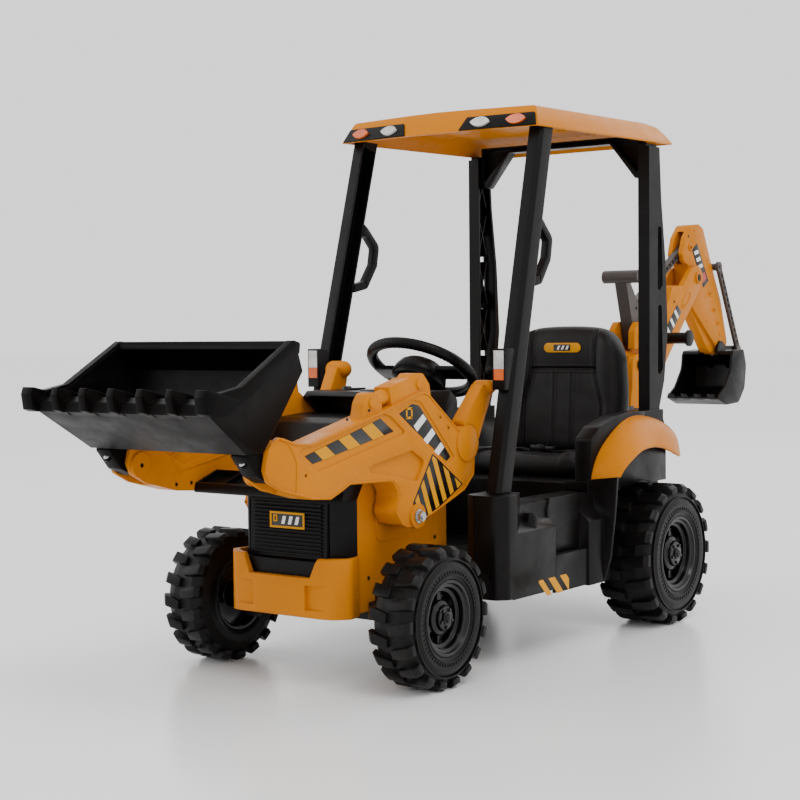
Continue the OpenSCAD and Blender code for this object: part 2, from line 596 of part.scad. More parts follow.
module arm() difference() {
    union() {
        slab(arm_in, arm_out, arm_side);
        rod_x(arm_in, arm_out + 4, 22, arm_pivot);
        // dummy lift ram on the top flange
        slab(136, 166, [[-443, 490], [-443, 518, 10], [-428, 532, 12], [-400, 532, 12],
            [-380, 512, 12], [-373, 476]]);
        slab(138, 164, [[-574, 455], [-566, 486, 14], [-554, 502, 14], [-534, 504, 12], [-518, 482, 8],
            [-514, 462]]);
        translate([151, -540, 484]) rotate([-76, 0, 0]) {
            cylinder(h = 120, r = 13);
            translate([-16, -16, 44]) cube([32, 32, 62]);
        }
        rod_x(150, 167, 9, [-546, 486]);
        rod_x(150, 169, 9, [-412, 514]);
        rod_x(arm_in + 3, arm_out + 3, 34, [-272, 402]);
    }
    slab(arm_out - 3, arm_out + 1, strip_recess);
    slab(arm_out - 6, arm_out + 1, lower_recess);
    slab(arm_out - 2, arm_out + 0.5, badge_recess);
    slab(arm_in - 1, arm_in + 4, strip_recess);
    slab(arm_in - 1, arm_in + 5, lower_recess);
    slab(arm_out - 1.5, arm_out + 1, [[-840, 350], [-840, 460], [-796, 446], [-768, 426, 20],
        [-753, 400, 20], [-756, 340]]);
    box(arm_in + 7.5, arm_out - 7.5, -840, -762, 340, 460);
    rod_x(arm_in - 5, arm_out + 8, bolt_r + fit, arm_pivot);
    rod_x(arm_in + 1.5, arm_out - 3, bolt_r + fit, tilt_pivot);
    for (p = [[-731, 378], [-560, 474], [-620, 462], [-355, 452],
        [-330, 432]]) rod_x(arm_out - 3, arm_out + 1, 3, p);
}
module loader_arm_left() color(orange) vehicle() arm();
module loader_arm_right() color(orange) vehicle() mirrored() arm();

// A lift lever at the rear of an arm, ending in a cross grip of radius r at c
module lift_lever(c, r) {
    difference() {
        slab(150, 175.8, [[-290, 440, 8], c + [-21, 5], c + [13, -3], [-240, 404, 10], [-266, 410]]);
        slab(154, 172, [[-268, 436], c + [-5, -4], c + [23, 2], [-225, 395]]);
        rod_x(120, 200, 34, [-272, 402]);
    }
    rod_x(152, 176, r, c);
    for (x = [152, 176]) translate([x, c[0], c[1]]) sphere(r = r);
}
module lift_levers() color(orange) vehicle() {
    lift_lever([-201, 501], 12.5);
    mirrored() lift_lever([-220, 532], 16.5);
}

module cross_channel() color(black) vehicle() difference() {
    slab(-arm_in, arm_in, [[-676, 330, 3], [-672, 348, 3], [-616, 368, 3], [-612, 352, 3]]);
    for (x = [-121, -61, -1, 59]) slab(x, x + 62 - wall, [[-669, 336], [-667, 352], [-620, 370],
        [-618, 356]]);
}

bucket_top = [[-972, 484], [-975, 502], [-905, 524], [-790, 592], [-768, 592], [-752, 545]];
module bucket_solid(d) hull() {
    slab(-bucket_x + d, bucket_x - d, [[-970 + d, 486], [-970 + d, 502], [-776 - d, 600],
        [-768 - d, 592], [-752 - d, 545]]);
    slab(-170 + d, 170 - d, [[-870 + d / 2, 420 + d], [-832 - d / 2, 420 + d], [-810 - d, 446 + d / 2]]);
}
tooth_side = [[-990, 512, 2], [-986, 524, 2], [-960, 518], [-918, 506], [-940, 484], [-975, 484],
    [-986, 488]];
module loader_bucket() color(black) vehicle() {
    difference() {
        bucket_solid(0);
        bucket_solid(5);
        slab(-300, 300, [[-980, 501], [-905, 522], [-788, 589], [-700, 600], [-700, 700], [-980, 700]]);
    }
    // turned-out rim
    pair() slab(bucket_x - 3, bucket_x + 11, [[-975, 484, 4], [-976, 514, 4], [-905, 526], [-786, 594, 6],
        [-770, 590, 4], [-772, 574], [-900, 504], [-950, 484]]);
    slab(-bucket_x, bucket_x, [[-794, 580], [-790, 593, 3], [-768, 592, 3], [-768, 578]]);
    slab(-bucket_x, bucket_x, [[-976, 484, 3], [-976, 502, 3], [-950, 505], [-950, 484]]);
    for (x = [-124, -62, 0, 62, 124]) slab(x - 7, x + 7, tooth_side);
    for (x = [-188, 188]) slab(x - 12, x + 12, tooth_side);
    for (x = [-124, -62, 0, 62, 124]) slab(x - 7, x + 7, [[-972, 485], [-935, 485], [-926, 462]]);
}
bracket_side = [[-868, 419.9, 3], [-838, 384, 10], [-808, 370, 12], [-778, 380, 14], [-776, 412, 14],
    [-800, 428, 10],
    [-822, 428], [-830, 419.9]];
module bucket_brackets() color(black) vehicle() pair() {
    slab(133, 164, bracket_side);
    rod_x(arm_in + 2, arm_out - 3.5, bolt_r, tilt_pivot);
    translate([148.5, -851, 402]) rotate([50, 0, 0]) cylinder(h = 6, r = 7);
}

module fasteners() color(steel) vehicle() pair() {
    rod_x(100, 188, bolt_r, arm_pivot);
    rod_x(arm_out + 4 + gap, arm_out + 6, 12, arm_pivot);
    translate([arm_out + 6, arm_pivot[0], arm_pivot[1]]) rotate([0, 90, 0]) cylinder(h = 8, r = 9.5,
        $fn = 6);
}

// ---- backhoe ----
module swing_bracket() color(black) vehicle() {
    box(-70, 70, 560, 588, 226, 424);
    box(-50, 50, 585, swing_y, 270, 298);
    rod_z(270, 298, 50, 0, swing_y);
    for (x = [-40, 32]) slab(x, x + 8, [[586, 228], [586, 272], [680, 272], [650, 262]]);
    rod_z(290, 400, 12, 0, swing_y);
}
module swing_column() color(orange) vehicle() difference() {
    union() {
        rod_z(298 + gap, 440, 36, 0, swing_y);
        pair() slab(24, 38, [[600, 409, 4], [612, 470, 20], [616, 545, 24], [684, 545, 24],
            [690, 470, 20], [702, 409, 4]]);
        rod_z(298 + gap, 312, 44, 0, swing_y);
    }
    rod_z(290, 402, 12 + fit, 0, swing_y);
    rod_x(-50, 50, 8 + fit, foot_pivot);
}
boom_body = [[735, 474], [742, 478, 4], [901, 632], [985, 706, 20], [996, 734, 20], [970, 760, 20],
    [930, 750, 10],
    [880, 706, 6], [824, 704, 6], [806, 668, 8], [745, 622, 12], [735, 606]];
boom_foot = [[628, 500, 16], [640, 486, 14], [676, 486, 14], [700, 474, 8], [741, 476], [762, 500],
    [762, 560], [728, 540],
    [700, 540, 10], [676, 548, 20], [640, 556, 20], [628, 540]];
ear_side = [[630, 558], [632, 600, 16], [652, 620, 16], [700, 622, 20], [756, 598], [756, 552], [676, 556]];
module boom() color(orange) vehicle() difference() {
    union() {
        slab(-34, 34, boom_body);
        slab(-22.6, 22.6, boom_foot);
        pair() slab(18.4, 34, ear_side);
        pair() slab(18.4, 22.6, [[640, 530], [640, 580], [740, 580], [740, 520]]);
    }
    // fork for the stick
    slab(-stick_x - 1, stick_x + 1, [[885, 600], [882, 690], [888, 800], [1010, 800], [1010, 600]]);
    rod_x(-60, 60, 8, foot_pivot);
    rod_x(-60, 60, 5, lever_pivot);
    rod_x(-60, 60, 5, tip_pivot);
    rod_x(-60, 60, 11, handle_c);
}
// The cross handle and the boom's pivot pins
module boom_bars() color(black) vehicle() {
    rod_x(-106, 106, 11, handle_c);
    pair() rod_x(34, 112, 13.5, handle_c);
    pair() rod_x(112, 118, 19, handle_c);
    rod_x(-42, 42, 8, foot_pivot);
    pair() rod_x(38.4, 43, 13, foot_pivot);
    rod_x(-36, 36, 5, lever_pivot);
    rod_x(-36, 36, 5, tip_pivot);
    pair() rod_x(34, 38, 9, tip_pivot);
}
stick_side = [[906, 786, 16], [914, 768, 8], [940, 758, 10], [952, 662], [968, 650], [1096, 556, 10],
    [1113, 534, 10], [1144, 541, 14],
    [1160, 568, 12], [1123, 674], [1076, 752, 6], [1022, 852, 10], [996, 862, 10], [956, 858, 20],
        [922, 826, 20]];
module stick() color(orange) vehicle() difference() {
    union() {
        slab(-stick_x, stick_x, stick_side);
        slab(-12.5, 12.5, [[950, 700], [950, 662, 4], [1058, 552, 6], [1076, 541, 6], [1116, 545],
            [1100, 640]]);
    }
    slab(-9, 9, [[895, 735], [935, 762], [962, 786], [978, 748], [1100, 716], [1115, 740], [1115, 880],
        [1060, 872],
        [985, 838], [895, 845]]);
    rod_x(-60, 60, 5 + fit, tip_pivot);
    rod_x(-60, 60, 5 + fit, dig_pivot);
    rod_x(-60, 60, 4, head_pin);
    rod_x(-60, 60, 4 + fit, rocker_pivot);
    for (p = [[1060, 690], [1085, 650], [1105, 616]]) pair() rod_x(stick_x - 2, stick_x + 1, 3, p);
}
dig_outer = [[1084, 536], [1092, 545, 4], [1152, 549, 8], [1168, 508, 30], [1158, 450, 30],
    [1122, 414, 22], [1050, 411, 8],
    [1000, 428], [1002, 434], [1040, 455, 40], [1078, 500, 40]];
dig_inner = [[1080, 536], [1146, 543, 8], [1162, 507, 28], [1152, 453, 28], [1120, 420, 18],
    [1052, 417, 6], [1000, 434],
    [990, 440], [1040, 560]];
module dig_bucket() color(black) vehicle() {
    difference() {
        slab(-dig_x, dig_x, dig_outer);
        slab(-dig_x + 5, dig_x - 5, dig_inner);
        // room for the stick's foot
        rod_x(-stick_x - 0.6, stick_x + 0.6, 50, dig_pivot);
    }
    pair() slab(stick_x + 0.6, stick_x + 6.6, [[1086, 540], [1094, 560, 14], [1112, 575, 18],
        [1132, 562, 14], [1154, 546],
        [1164, 515], [1158, 500], [1100, 536]]);
    for (i = [-1.5:1:1.5]) slab(i * 36 - 8, i * 36 + 8, [[986, 440], [1008, 424], [1020, 428],
        [1004, 436]]);
    rod_x(-stick_x - 6, stick_x + 6, 5, dig_pivot);
    difference() {
        slab(-24, 24, [[1166, 546], [1192, 558, 8], [1220, 552, 10], [1218, 532, 8], [1166, 500]]);
        rod_x(-40, 40, 4, ear_pin);
    }
    rod_x(-36, 36, 4, ear_pin);
}
module control_lever() color(grey) vehicle() difference() {
    union() {
        slab(-15, 15, [[674, 566, 10], [664, 590], [650, 640], [628, 712], [646, 716], [690, 660, 12],
            [704, 596], [706, 566, 10]]);
        rod_x(-46, 46, 15, [636, 725]);
        rod_x(-17.5, 17.5, 12, lever_pivot);
    }
    rod_x(-30, 30, 5 + fit, lever_pivot);
    rod_x(-30, 30, 4 + fit, lever_pin);
    slab(-9, 9, [[666, 620], [650, 672], [720, 720], [760, 640], [712, 612]]);
}
// A flat lattice bar between two (y, z) points, half as deep as d
module lattice(x0, x1, a, b, d) {
    run = norm(b - a);
    translate([x0, a[0], a[1]]) rotate([atan2(b[1] - a[1], b[0] - a[0]), 0, 0]) {
        for (s = [-1, 1]) translate([0, -2, s * (d - 1.5) - 1.5]) cube([x1 - x0, run + 4, 3]);
        bays = round(run / (2 * d));
        step = (run - 16) / bays;
        for (i = [0:bays - 1], s = [-1, 1]) translate([(x1 - x0) / 2, 8 + (i + 0.5) * step, 0])
            rotate([s * 45, 0, 0]) cube([x1 - x0, step * 1.25, 2.2], center = true);
    }
}
module lever_link() color(grey) vehicle() difference() {
    union() {
        lattice(-7, 7, lever_pin, head_pin, 9);
        rod_x(-8, 8, 10, lever_pin);
        rod_x(-8, 8, 10, head_pin);
    }
    rod_x(-10, 10, 4.6, head_pin);
    rod_x(-10, 10, 4, lever_pin);
}
module bucket_rocker() color(grey) vehicle() {
    slab(-7.5, 7.5, [[987, 756, 6], [990, 777, 8], [1088, 769, 6], [1100, 762, 6], [1098, 750, 6],
        [1010, 753, 8]]);
    rod_x(-stick_x - 1, stick_x + 1, 4, rocker_pivot);
    rod_x(-36, 36, 4, rocker_pin);
    rod_x(-24, 24, 9, rocker_pin);
}
module bucket_link() color(grey) vehicle() difference() {
    pair() {
        lattice(26, 34, rocker_pin, ear_pin, 9);
        translate([26, 0, 0]) for (c = [rocker_pin, ear_pin]) rod_x(0, 8, 13, c);
    }
    for (c = [rocker_pin, ear_pin]) rod_x(-40, 40, 4 + fit, c);
}
chassis();
hood();
hood_top();
grille();
bumper();
side_panel_left();
side_panel_right();
dashboard();
seat_back();
seat_cushion();
seat_belt();
armrest_left();
armrest_right();
fender_left();
fender_right();
front_pillar_left();
front_pillar_right();
rear_pillar_left();
rear_pillar_right();
grab_handles();
lamp_housings();
clear_lenses();
amber_lenses();
roof();
roof_crossbeam();
battery();
drive_motors();
front_axle_beam();
rear_axle();
swing_bracket();
fasteners();
foot_pedal();
steering_wheel();
steering_shaft();
tie_rod();
knuckle_left();
knuckle_right();
front_tyre_left();
front_tyre_right();
rear_tyre_left();
rear_tyre_right();
front_rim_left();
front_rim_right();
rear_rim_left();
rear_rim_right();
loader_arm_left();
loader_arm_right();
lift_levers();
cross_channel();
loader_bucket();
bucket_brackets();
swing_column();
boom();
boom_bars();
stick();
dig_bucket();
control_lever();
lever_link();
bucket_rocker();
bucket_link();
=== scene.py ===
import json
import math

import bmesh
import bpy
from mathutils import Matrix, Vector, noise


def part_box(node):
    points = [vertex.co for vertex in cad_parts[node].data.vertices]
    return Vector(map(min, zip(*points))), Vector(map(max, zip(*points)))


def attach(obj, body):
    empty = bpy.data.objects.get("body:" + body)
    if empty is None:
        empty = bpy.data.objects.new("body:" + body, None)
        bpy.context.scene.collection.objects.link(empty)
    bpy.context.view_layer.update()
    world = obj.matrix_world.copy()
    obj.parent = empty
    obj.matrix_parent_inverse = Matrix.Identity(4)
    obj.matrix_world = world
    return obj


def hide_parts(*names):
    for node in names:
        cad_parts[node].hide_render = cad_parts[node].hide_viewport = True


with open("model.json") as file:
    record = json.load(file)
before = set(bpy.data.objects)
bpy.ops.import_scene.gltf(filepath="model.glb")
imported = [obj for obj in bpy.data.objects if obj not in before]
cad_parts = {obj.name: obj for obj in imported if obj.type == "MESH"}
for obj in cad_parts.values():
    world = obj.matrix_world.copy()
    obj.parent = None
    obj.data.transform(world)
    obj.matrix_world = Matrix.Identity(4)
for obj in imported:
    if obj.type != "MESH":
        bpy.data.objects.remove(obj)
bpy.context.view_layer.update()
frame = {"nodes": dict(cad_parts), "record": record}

RECORD = frame["record"]
NODES = frame["nodes"]
# The part's drawings put the rear axle at this y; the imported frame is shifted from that
DRAWN_AXLE_Y = 0.2895
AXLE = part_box("rear_axle")
SHIFT = (AXLE[0].y + AXLE[1].y) / 2 - DRAWN_AXLE_Y
PIVOT_BOSS = 0.004                                      # how far an arm's pivot boss stands out of its face
ARM_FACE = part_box("loader_arm_left")[1].x - PIVOT_BOSS
X, Y, Z = Vector((1, 0, 0)), Vector((0, 1, 0)), Vector((0, 0, 1))
SIDES = (("left", 1), ("right", -1))
BEVEL_FROM, BEVEL_FROM_CAD, SMOOTH_BELOW = 35, 38, 31   # edge angles, in degrees


def P(x, y, z):
    """A point of the part's drawings, in mm, as metres in the frame."""
    return Vector((x / 1000, y / 1000 + SHIFT, z / 1000))


# ---- materials ----------------------------------------------------------------------------
class Nodes:
    """A few short names for building a node tree."""

    def __init__(self, name):
        self.mat = bpy.data.materials.new(name)
        self.mat.use_nodes = True
        self.tree = self.mat.node_tree
        self.bsdf = self.tree.nodes["Principled BSDF"]
        self.coord = self.tree.nodes.new("ShaderNodeTexCoord").outputs["Object"]

    def add(self, kind, **values):
        n = self.tree.nodes.new(kind)
        for k, v in values.items():
            setattr(n, k, v)
        return n

    def link(self, a, b):
        self.tree.links.new(a, b)

    def noise(self, scale, detail=4, rough=0.55):
        n = self.add("ShaderNodeTexNoise")
        n.inputs["Scale"].default_value = scale
        n.inputs["Detail"].default_value = detail
        n.inputs["Roughness"].default_value = rough
        self.link(self.coord, n.inputs["Vector"])
        return n.outputs["Fac"]

    def spread(self, value, lo, hi, out_lo=0.0, out_hi=1.0):
        n = self.add("ShaderNodeMapRange")
        for k, v in (("From Min", lo), ("From Max", hi), ("To Min", out_lo), ("To Max", out_hi)):
            n.inputs[k].default_value = v
        self.link(value, n.inputs["Value"])
        return n.outputs["Result"]

    def mix(self, fac, a, b):
        n = self.add("ShaderNodeMix", data_type="RGBA")
        self.link(fac, n.inputs["Factor"])
        for sock, v in ((n.inputs[6], a), (n.inputs[7], b)):
            if isinstance(v, tuple):
                sock.default_value = (*v, 1)
            else:
                self.link(v, sock)
        return n.outputs[2]

    def bump(self, height, strength, distance, normal=None):
        n = self.add("ShaderNodeBump")
        n.inputs["Strength"].default_value = strength
        n.inputs["Distance"].default_value = distance
        self.link(height, n.inputs["Height"])
        if normal is not None:
            self.link(normal, n.inputs["Normal"])
        return n.outputs["Normal"]


def surface(name, base, light, rough, metal=0.0, coat=0.0, grain=(900, 0.15, 0.0003), scuff=(0.5, 0.5, 0.5),
            scuffs=0.15, edge=0.0012, spec=0.5, weave=None):
    """Moulded or painted surface: slow mottling from base to light, rubbed spots of the scuff colour,
    a fine grain of (scale, strength, depth) and edges softened over the width edge."""
    n = Nodes(name)
    slow = n.spread(n.noise(3.2, 5), 0.35, 0.68)
    body = n.mix(slow, base, light)
    worn = n.spread(n.noise(11, 9, 0.68), 0.6, 0.76, 0, scuffs)
    fine = n.spread(n.noise(90, 3), 0.55, 0.75, 0, scuffs * 0.5)
    body = n.mix(worn, body, scuff)
    body = n.mix(fine, body, scuff)
    n.link(body, n.bsdf.inputs["Base Color"])
    patches = n.spread(n.noise(24, 6, 0.6), 0.3, 0.7, max(rough - 0.08, 0.03), rough + 0.1)
    n.link(patches, n.bsdf.inputs["Roughness"])
    n.bsdf.inputs["Metallic"].default_value = metal
    n.bsdf.inputs["Specular IOR Level"].default_value = spec
    n.bsdf.inputs["Coat Weight"].default_value = coat
    n.bsdf.inputs["Coat Roughness"].default_value = 0.12
    soft = n.add("ShaderNodeBevel", samples=4)
    soft.inputs["Radius"].default_value = edge
    normal = n.bump(n.noise(14, 2), 0.1, 0.002, soft.outputs["Normal"])
    height = n.noise(grain[0], 2)
    if weave:
        w = n.add("ShaderNodeTexWave", wave_type="BANDS", bands_direction=weave[0])
        w.inputs["Scale"].default_value = weave[1]
        w.inputs["Distortion"].default_value = 0.6
        n.link(n.coord, w.inputs["Vector"])
        height = w.outputs["Fac"]
    n.link(n.bump(height, grain[1], grain[2], normal), n.bsdf.inputs["Normal"])
    return n.mat


def leather(name):
    """Black leatherette: a pebbled grain over shallow wrinkles."""
    n = Nodes(name)
    slow = n.spread(n.noise(5, 5), 0.35, 0.68)
    n.link(n.mix(slow, (0.0034, 0.0026, 0.0024), (0.0066, 0.005, 0.0046)), n.bsdf.inputs["Base Color"])
    n.link(n.spread(n.noise(30, 5), 0.3, 0.7, 0.36, 0.52), n.bsdf.inputs["Roughness"])
    cells = n.add("ShaderNodeTexVoronoi", feature="DISTANCE_TO_EDGE")
    cells.inputs["Scale"].default_value = 420
    n.link(n.coord, cells.inputs["Vector"])
    pebble = n.spread(cells.outputs["Distance"], 0, 0.09)
    n.bsdf.inputs["Specular IOR Level"].default_value = 0.2
    n.link(n.bump(pebble, 0.3, 0.0004, n.bump(n.noise(26, 4), 0.16, 0.003)), n.bsdf.inputs["Normal"])
    return n.mat


def lens_mat(name, base, light, coat=0.8, ribs=520):
    """A fluted lamp lens."""
    n = Nodes(name)
    slow = n.spread(n.noise(40, 4), 0.3, 0.7)
    n.link(n.mix(slow, base, light), n.bsdf.inputs["Base Color"])
    n.link(n.spread(n.noise(60, 3), 0.3, 0.7, 0.06, 0.16), n.bsdf.inputs["Roughness"])
    n.bsdf.inputs["Coat Weight"].default_value = coat
    flutes = n.add("ShaderNodeTexWave", wave_type="BANDS", bands_direction="X")
    flutes.inputs["Scale"].default_value = ribs
    n.link(n.coord, flutes.inputs["Vector"])
    n.link(n.bump(flutes.outputs["Fac"], 0.45, 0.0008), n.bsdf.inputs["Normal"])
    return n.mat


ORANGE = surface("orange_plastic", (0.49, 0.152, 0.0), (0.55, 0.178, 0.0), 0.3, grain=(1200, 0.05, 0.0002),
                 scuff=(0.66, 0.26, 0.02), scuffs=0.1, edge=0.0016, spec=0.08)
BLACK = surface("black_plastic", (0.0024, 0.002, 0.0019), (0.0045, 0.0037, 0.0035), 0.33,
                grain=(1500, 0.25, 0.0003), scuff=(0.014, 0.011, 0.01), scuffs=0.2, edge=0.0018, spec=0.12)
# a darker copy of the black plastic, with less sheen, for the bucket and its brackets: painted shade for the
# shade the bucket sits in
SHADED_BUCKET_BLACK = surface("bucket_black_painted_shade", (0.0016, 0.0012, 0.0011), (0.003, 0.0023, 0.002), 0.36,
                 grain=(1500, 0.25, 0.0003), scuff=(0.008, 0.006, 0.005), scuffs=0.2, edge=0.0018,
                 spec=0.05)
GLOSS = surface("gloss_black_plastic", (0.002, 0.0019, 0.0019), (0.0036, 0.0034, 0.0034), 0.2, coat=0.08,
                grain=(900, 0.05, 0.0002), scuff=(0.015, 0.014, 0.014), scuffs=0.1, spec=0.25)
GREY = surface("grey_plastic", (0.045, 0.035, 0.031), (0.07, 0.056, 0.05), 0.4, grain=(1100, 0.2, 0.0003),
               scuff=(0.15, 0.13, 0.12), scuffs=0.2, edge=0.0008, spec=0.35)
TYRE = surface("tyre_plastic", (0.0026, 0.0023, 0.0022), (0.0055, 0.0046, 0.0043), 0.38,
               grain=(700, 0.35, 0.0005), scuff=(0.02, 0.016, 0.014), scuffs=0.25, edge=0.002, spec=0.15)
STEEL = surface("zinc_steel", (0.34, 0.35, 0.36), (0.52, 0.52, 0.52), 0.25, metal=1.0,
                grain=(600, 0.12, 0.0003), scuff=(0.2, 0.17, 0.14), scuffs=0.4, edge=0.0006)
DARK = surface("dark_plastic", (0.0045, 0.004, 0.0038), (0.008, 0.007, 0.0067), 0.42,
               grain=(1300, 0.25, 0.0003), scuff=(0.025, 0.022, 0.02), scuffs=0.25, spec=0.2)
WEB = surface("belt_webbing", (0.006, 0.0056, 0.006), (0.012, 0.011, 0.011), 0.72,
              grain=(600, 0.8, 0.0008), scuff=(0.04, 0.036, 0.033), scuffs=0.2, weave=("Y", 900))
YELLOW = surface("sticker_yellow", (0.56, 0.235, 0.0), (0.62, 0.265, 0.0), 0.3, grain=(500, 0.05, 0.0001),
                 scuff=(0.5, 0.28, 0.03), scuffs=0.15, edge=0.0003, spec=0.1)
INK = surface("sticker_black", (0.002, 0.0018, 0.0017), (0.004, 0.0036, 0.0034), 0.26, coat=0.1,
              grain=(500, 0.05, 0.0001), scuff=(0.03, 0.03, 0.03), scuffs=0.15, edge=0.0003, spec=0.3)
WHITE = surface("sticker_white", (0.7, 0.7, 0.69), (0.82, 0.81, 0.8), 0.3, coat=0.1,
                grain=(500, 0.05, 0.0001), scuff=(0.35, 0.33, 0.3), scuffs=0.15, edge=0.0003)
RED = surface("sticker_red", (0.36, 0.008, 0.005), (0.46, 0.014, 0.008), 0.3, coat=0.1,
              grain=(500, 0.05, 0.0001), scuff=(0.3, 0.1, 0.08), scuffs=0.12, edge=0.0003)
SEAT = leather("seat_leatherette")
CLEAR = lens_mat("clear_lens", (0.42, 0.41, 0.39), (0.78, 0.77, 0.75))
AMBER = lens_mat("amber_lens", (0.6, 0.07, 0.0), (0.75, 0.13, 0.0), coat=0.3)
BY_SLOT = {"orange": ORANGE, "black": BLACK, "gloss_black": GLOSS, "grey": GREY, "tyre": TYRE, "seat": SEAT,
           "webbing": WEB, "steel": STEEL, "clear_lens": CLEAR, "amber_lens": AMBER, "dark": DARK}
ROUND_EDGES = {"orange": 0.0014, "black": 0.0013, "dark": 0.001, "tyre": 0.0016, "gloss_black": 0.0007}
NO_BEVEL = ("grille", "front_pillar_left", "front_pillar_right", "rear_pillar_left", "rear_pillar_right",
            "battery")


def smooth_group():
    """Smooth shading broken at real edges, worked out after the faces are joined."""
    g = bpy.data.node_groups.new("smooth_faces", "GeometryNodeTree")
    g.interface.new_socket("Geometry", in_out="INPUT", socket_type="NodeSocketGeometry")
    g.interface.new_socket("Geometry", in_out="OUTPUT", socket_type="NodeSocketGeometry")
    a, b = g.nodes.new("NodeGroupInput"), g.nodes.new("NodeGroupOutput")
    faces, edges = g.nodes.new("GeometryNodeSetShadeSmooth"), g.nodes.new("GeometryNodeSetShadeSmooth")
    faces.domain, edges.domain = "FACE", "EDGE"
    edges.inputs["Shade Smooth"].default_value = False
    angle, over = g.nodes.new("GeometryNodeInputMeshEdgeAngle"), g.nodes.new("FunctionNodeCompare")
    over.operation = "GREATER_THAN"
    over.inputs[1].default_value = math.radians(SMOOTH_BELOW)
    g.links.new(angle.outputs["Unsigned Angle"], over.inputs[0])
    g.links.new(over.outputs["Result"], edges.inputs["Selection"])
    g.links.new(a.outputs[0], faces.inputs["Geometry"])
    g.links.new(faces.outputs["Geometry"], edges.inputs["Geometry"])
    g.links.new(edges.outputs["Geometry"], b.inputs[0])
    return g


SMOOTH = smooth_group()


def shade(o):
    o.modifiers.new("smooth_faces", "NODES").node_group = SMOOTH


def soften(o, width, angle):
    """Rounds the edges sharper than an angle, in degrees."""
    bevel = o.modifiers.new("soft_edges", "BEVEL")
    bevel.width = width
    bevel.segments = 2
    bevel.limit_method = "ANGLE"
    bevel.angle_limit = math.radians(angle)


for part in RECORD["subparts"]:
    name, kind = part["node"], part["material_slot"]
    o = NODES[name]
    o.data.materials.clear()
    # the bucket and its brackets take the darker painted-shade copy of the black plastic
    o.data.materials.append(SHADED_BUCKET_BLACK if name in ("loader_bucket", "bucket_brackets") else BY_SLOT[kind])
    weld = o.modifiers.new("join_faces", "WELD")
    weld.merge_threshold = 0.00001
    if kind in ROUND_EDGES and name not in NO_BEVEL:
        soften(o, ROUND_EDGES[kind], BEVEL_FROM_CAD)
    shade(o)


# ---- building blocks ----------------------------------------------------------------------
def piece(name, bm, mat, body, smooth=False, bevel=0.0):
    """Turns a bmesh into an object that rides a body."""
    bmesh.ops.recalc_face_normals(bm, faces=bm.faces)
    mesh = bpy.data.meshes.new(name)
    bm.to_mesh(mesh)
    bm.free()
    o = bpy.data.objects.new(name, mesh)
    bpy.context.scene.collection.objects.link(o)
    mesh.materials.append(mat)
    if smooth:
        for p in mesh.polygons:
            p.use_smooth = True
    if bevel:
        soften(o, bevel, BEVEL_FROM)
    if not smooth:
        shade(o)
    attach(o, body)
    return o


def band(bm, a, b):
    """Faces between two closed rings of vertices."""
    n = len(a)
    for k in range(n):
        bm.faces.new((a[k], a[(k + 1) % n], b[(k + 1) % n], b[k]))


def grid_faces(bm, rows):
    """Faces over rows of vertices."""
    for a, b in zip(rows, rows[1:]):
        for i in range(len(a) - 1):
            bm.faces.new((a[i], a[i + 1], b[i + 1], b[i]))


def prism(bm, points, thick):
    """A plate: the loop of points, made thick along the vector thick."""
    low = [bm.verts.new(p) for p in points]
    high = [bm.verts.new(p + thick) for p in points]
    bm.faces.new(low)
    bm.faces.new(high[::-1])
    band(bm, low, high)


def arc_corners(points, r, n=4):
    """The same outline with every corner cut back by r and rounded."""
    out = []
    for i, b in enumerate(points):
        a, c = Vector(points[i - 1]), Vector(points[(i + 1) % len(points)])
        b = Vector(b)
        u, v = (a - b).normalized() * r, (c - b).normalized() * r
        for k in range(n + 1):
            t = k / n
            out.append(((1 - t) ** 2) * (b + u) + 2 * t * (1 - t) * b + t * t * (b + v))
    return out


def rounded(outline, r):
    return arc_corners(outline, r) if r else outline


def side_plate(bm, outline, x0, x1, r=0.0):
    """A plate seen from the side, outline in (y, z), from x0 to x1."""
    prism(bm, [P(x0, y, z) for y, z in rounded(outline, r)], Vector(((x1 - x0) / 1000, 0, 0)))


def flat_plate(bm, outline, z, thick, r=0.0):
    """A plate seen from above, outline in (x, y), standing thick over z."""
    prism(bm, [P(x, y, z) for x, y in rounded(outline, r)], Vector((0, 0, thick / 1000)))


def front_plate(bm, outline, y, thick, r=0.0):
    """A plate seen from the front, outline in (x, z), standing thick before y."""
    prism(bm, [P(x, y, z) for x, z in rounded(outline, r)], Vector((0, -thick / 1000, 0)))


def turned(at, q, r, h, a):
    """The point at radius r, height h (mm) and angle a about the axis that q turns Z to."""
    return at + q @ Vector((r * math.cos(a) / 1000, r * math.sin(a) / 1000, h / 1000))


def turns(n):
    return [2 * math.pi * k / n for k in range(n)]


def lathe(bm, profile, at, axis, n=24):
    """A turned shape: profile of (radius, height) in mm, standing at the point at along axis."""
    q = Z.rotation_difference(axis)
    rings = [[bm.verts.new(turned(at, q, r, h, a)) for a in turns(n)] if r > 1e-6 else
             [bm.verts.new(turned(at, q, 0, h, 0))] for r, h in profile]
    for a, b in zip(rings, rings[1:]):
        if len(a) == len(b) == n:
            band(bm, a, b)
        elif len(a) == 1 and len(b) == n:
            for k in range(n):
                bm.faces.new((a[0], b[k], b[(k + 1) % n]))
        elif len(b) == 1 and len(a) == n:
            for k in range(n):
                bm.faces.new((a[k], a[(k + 1) % n], b[0]))


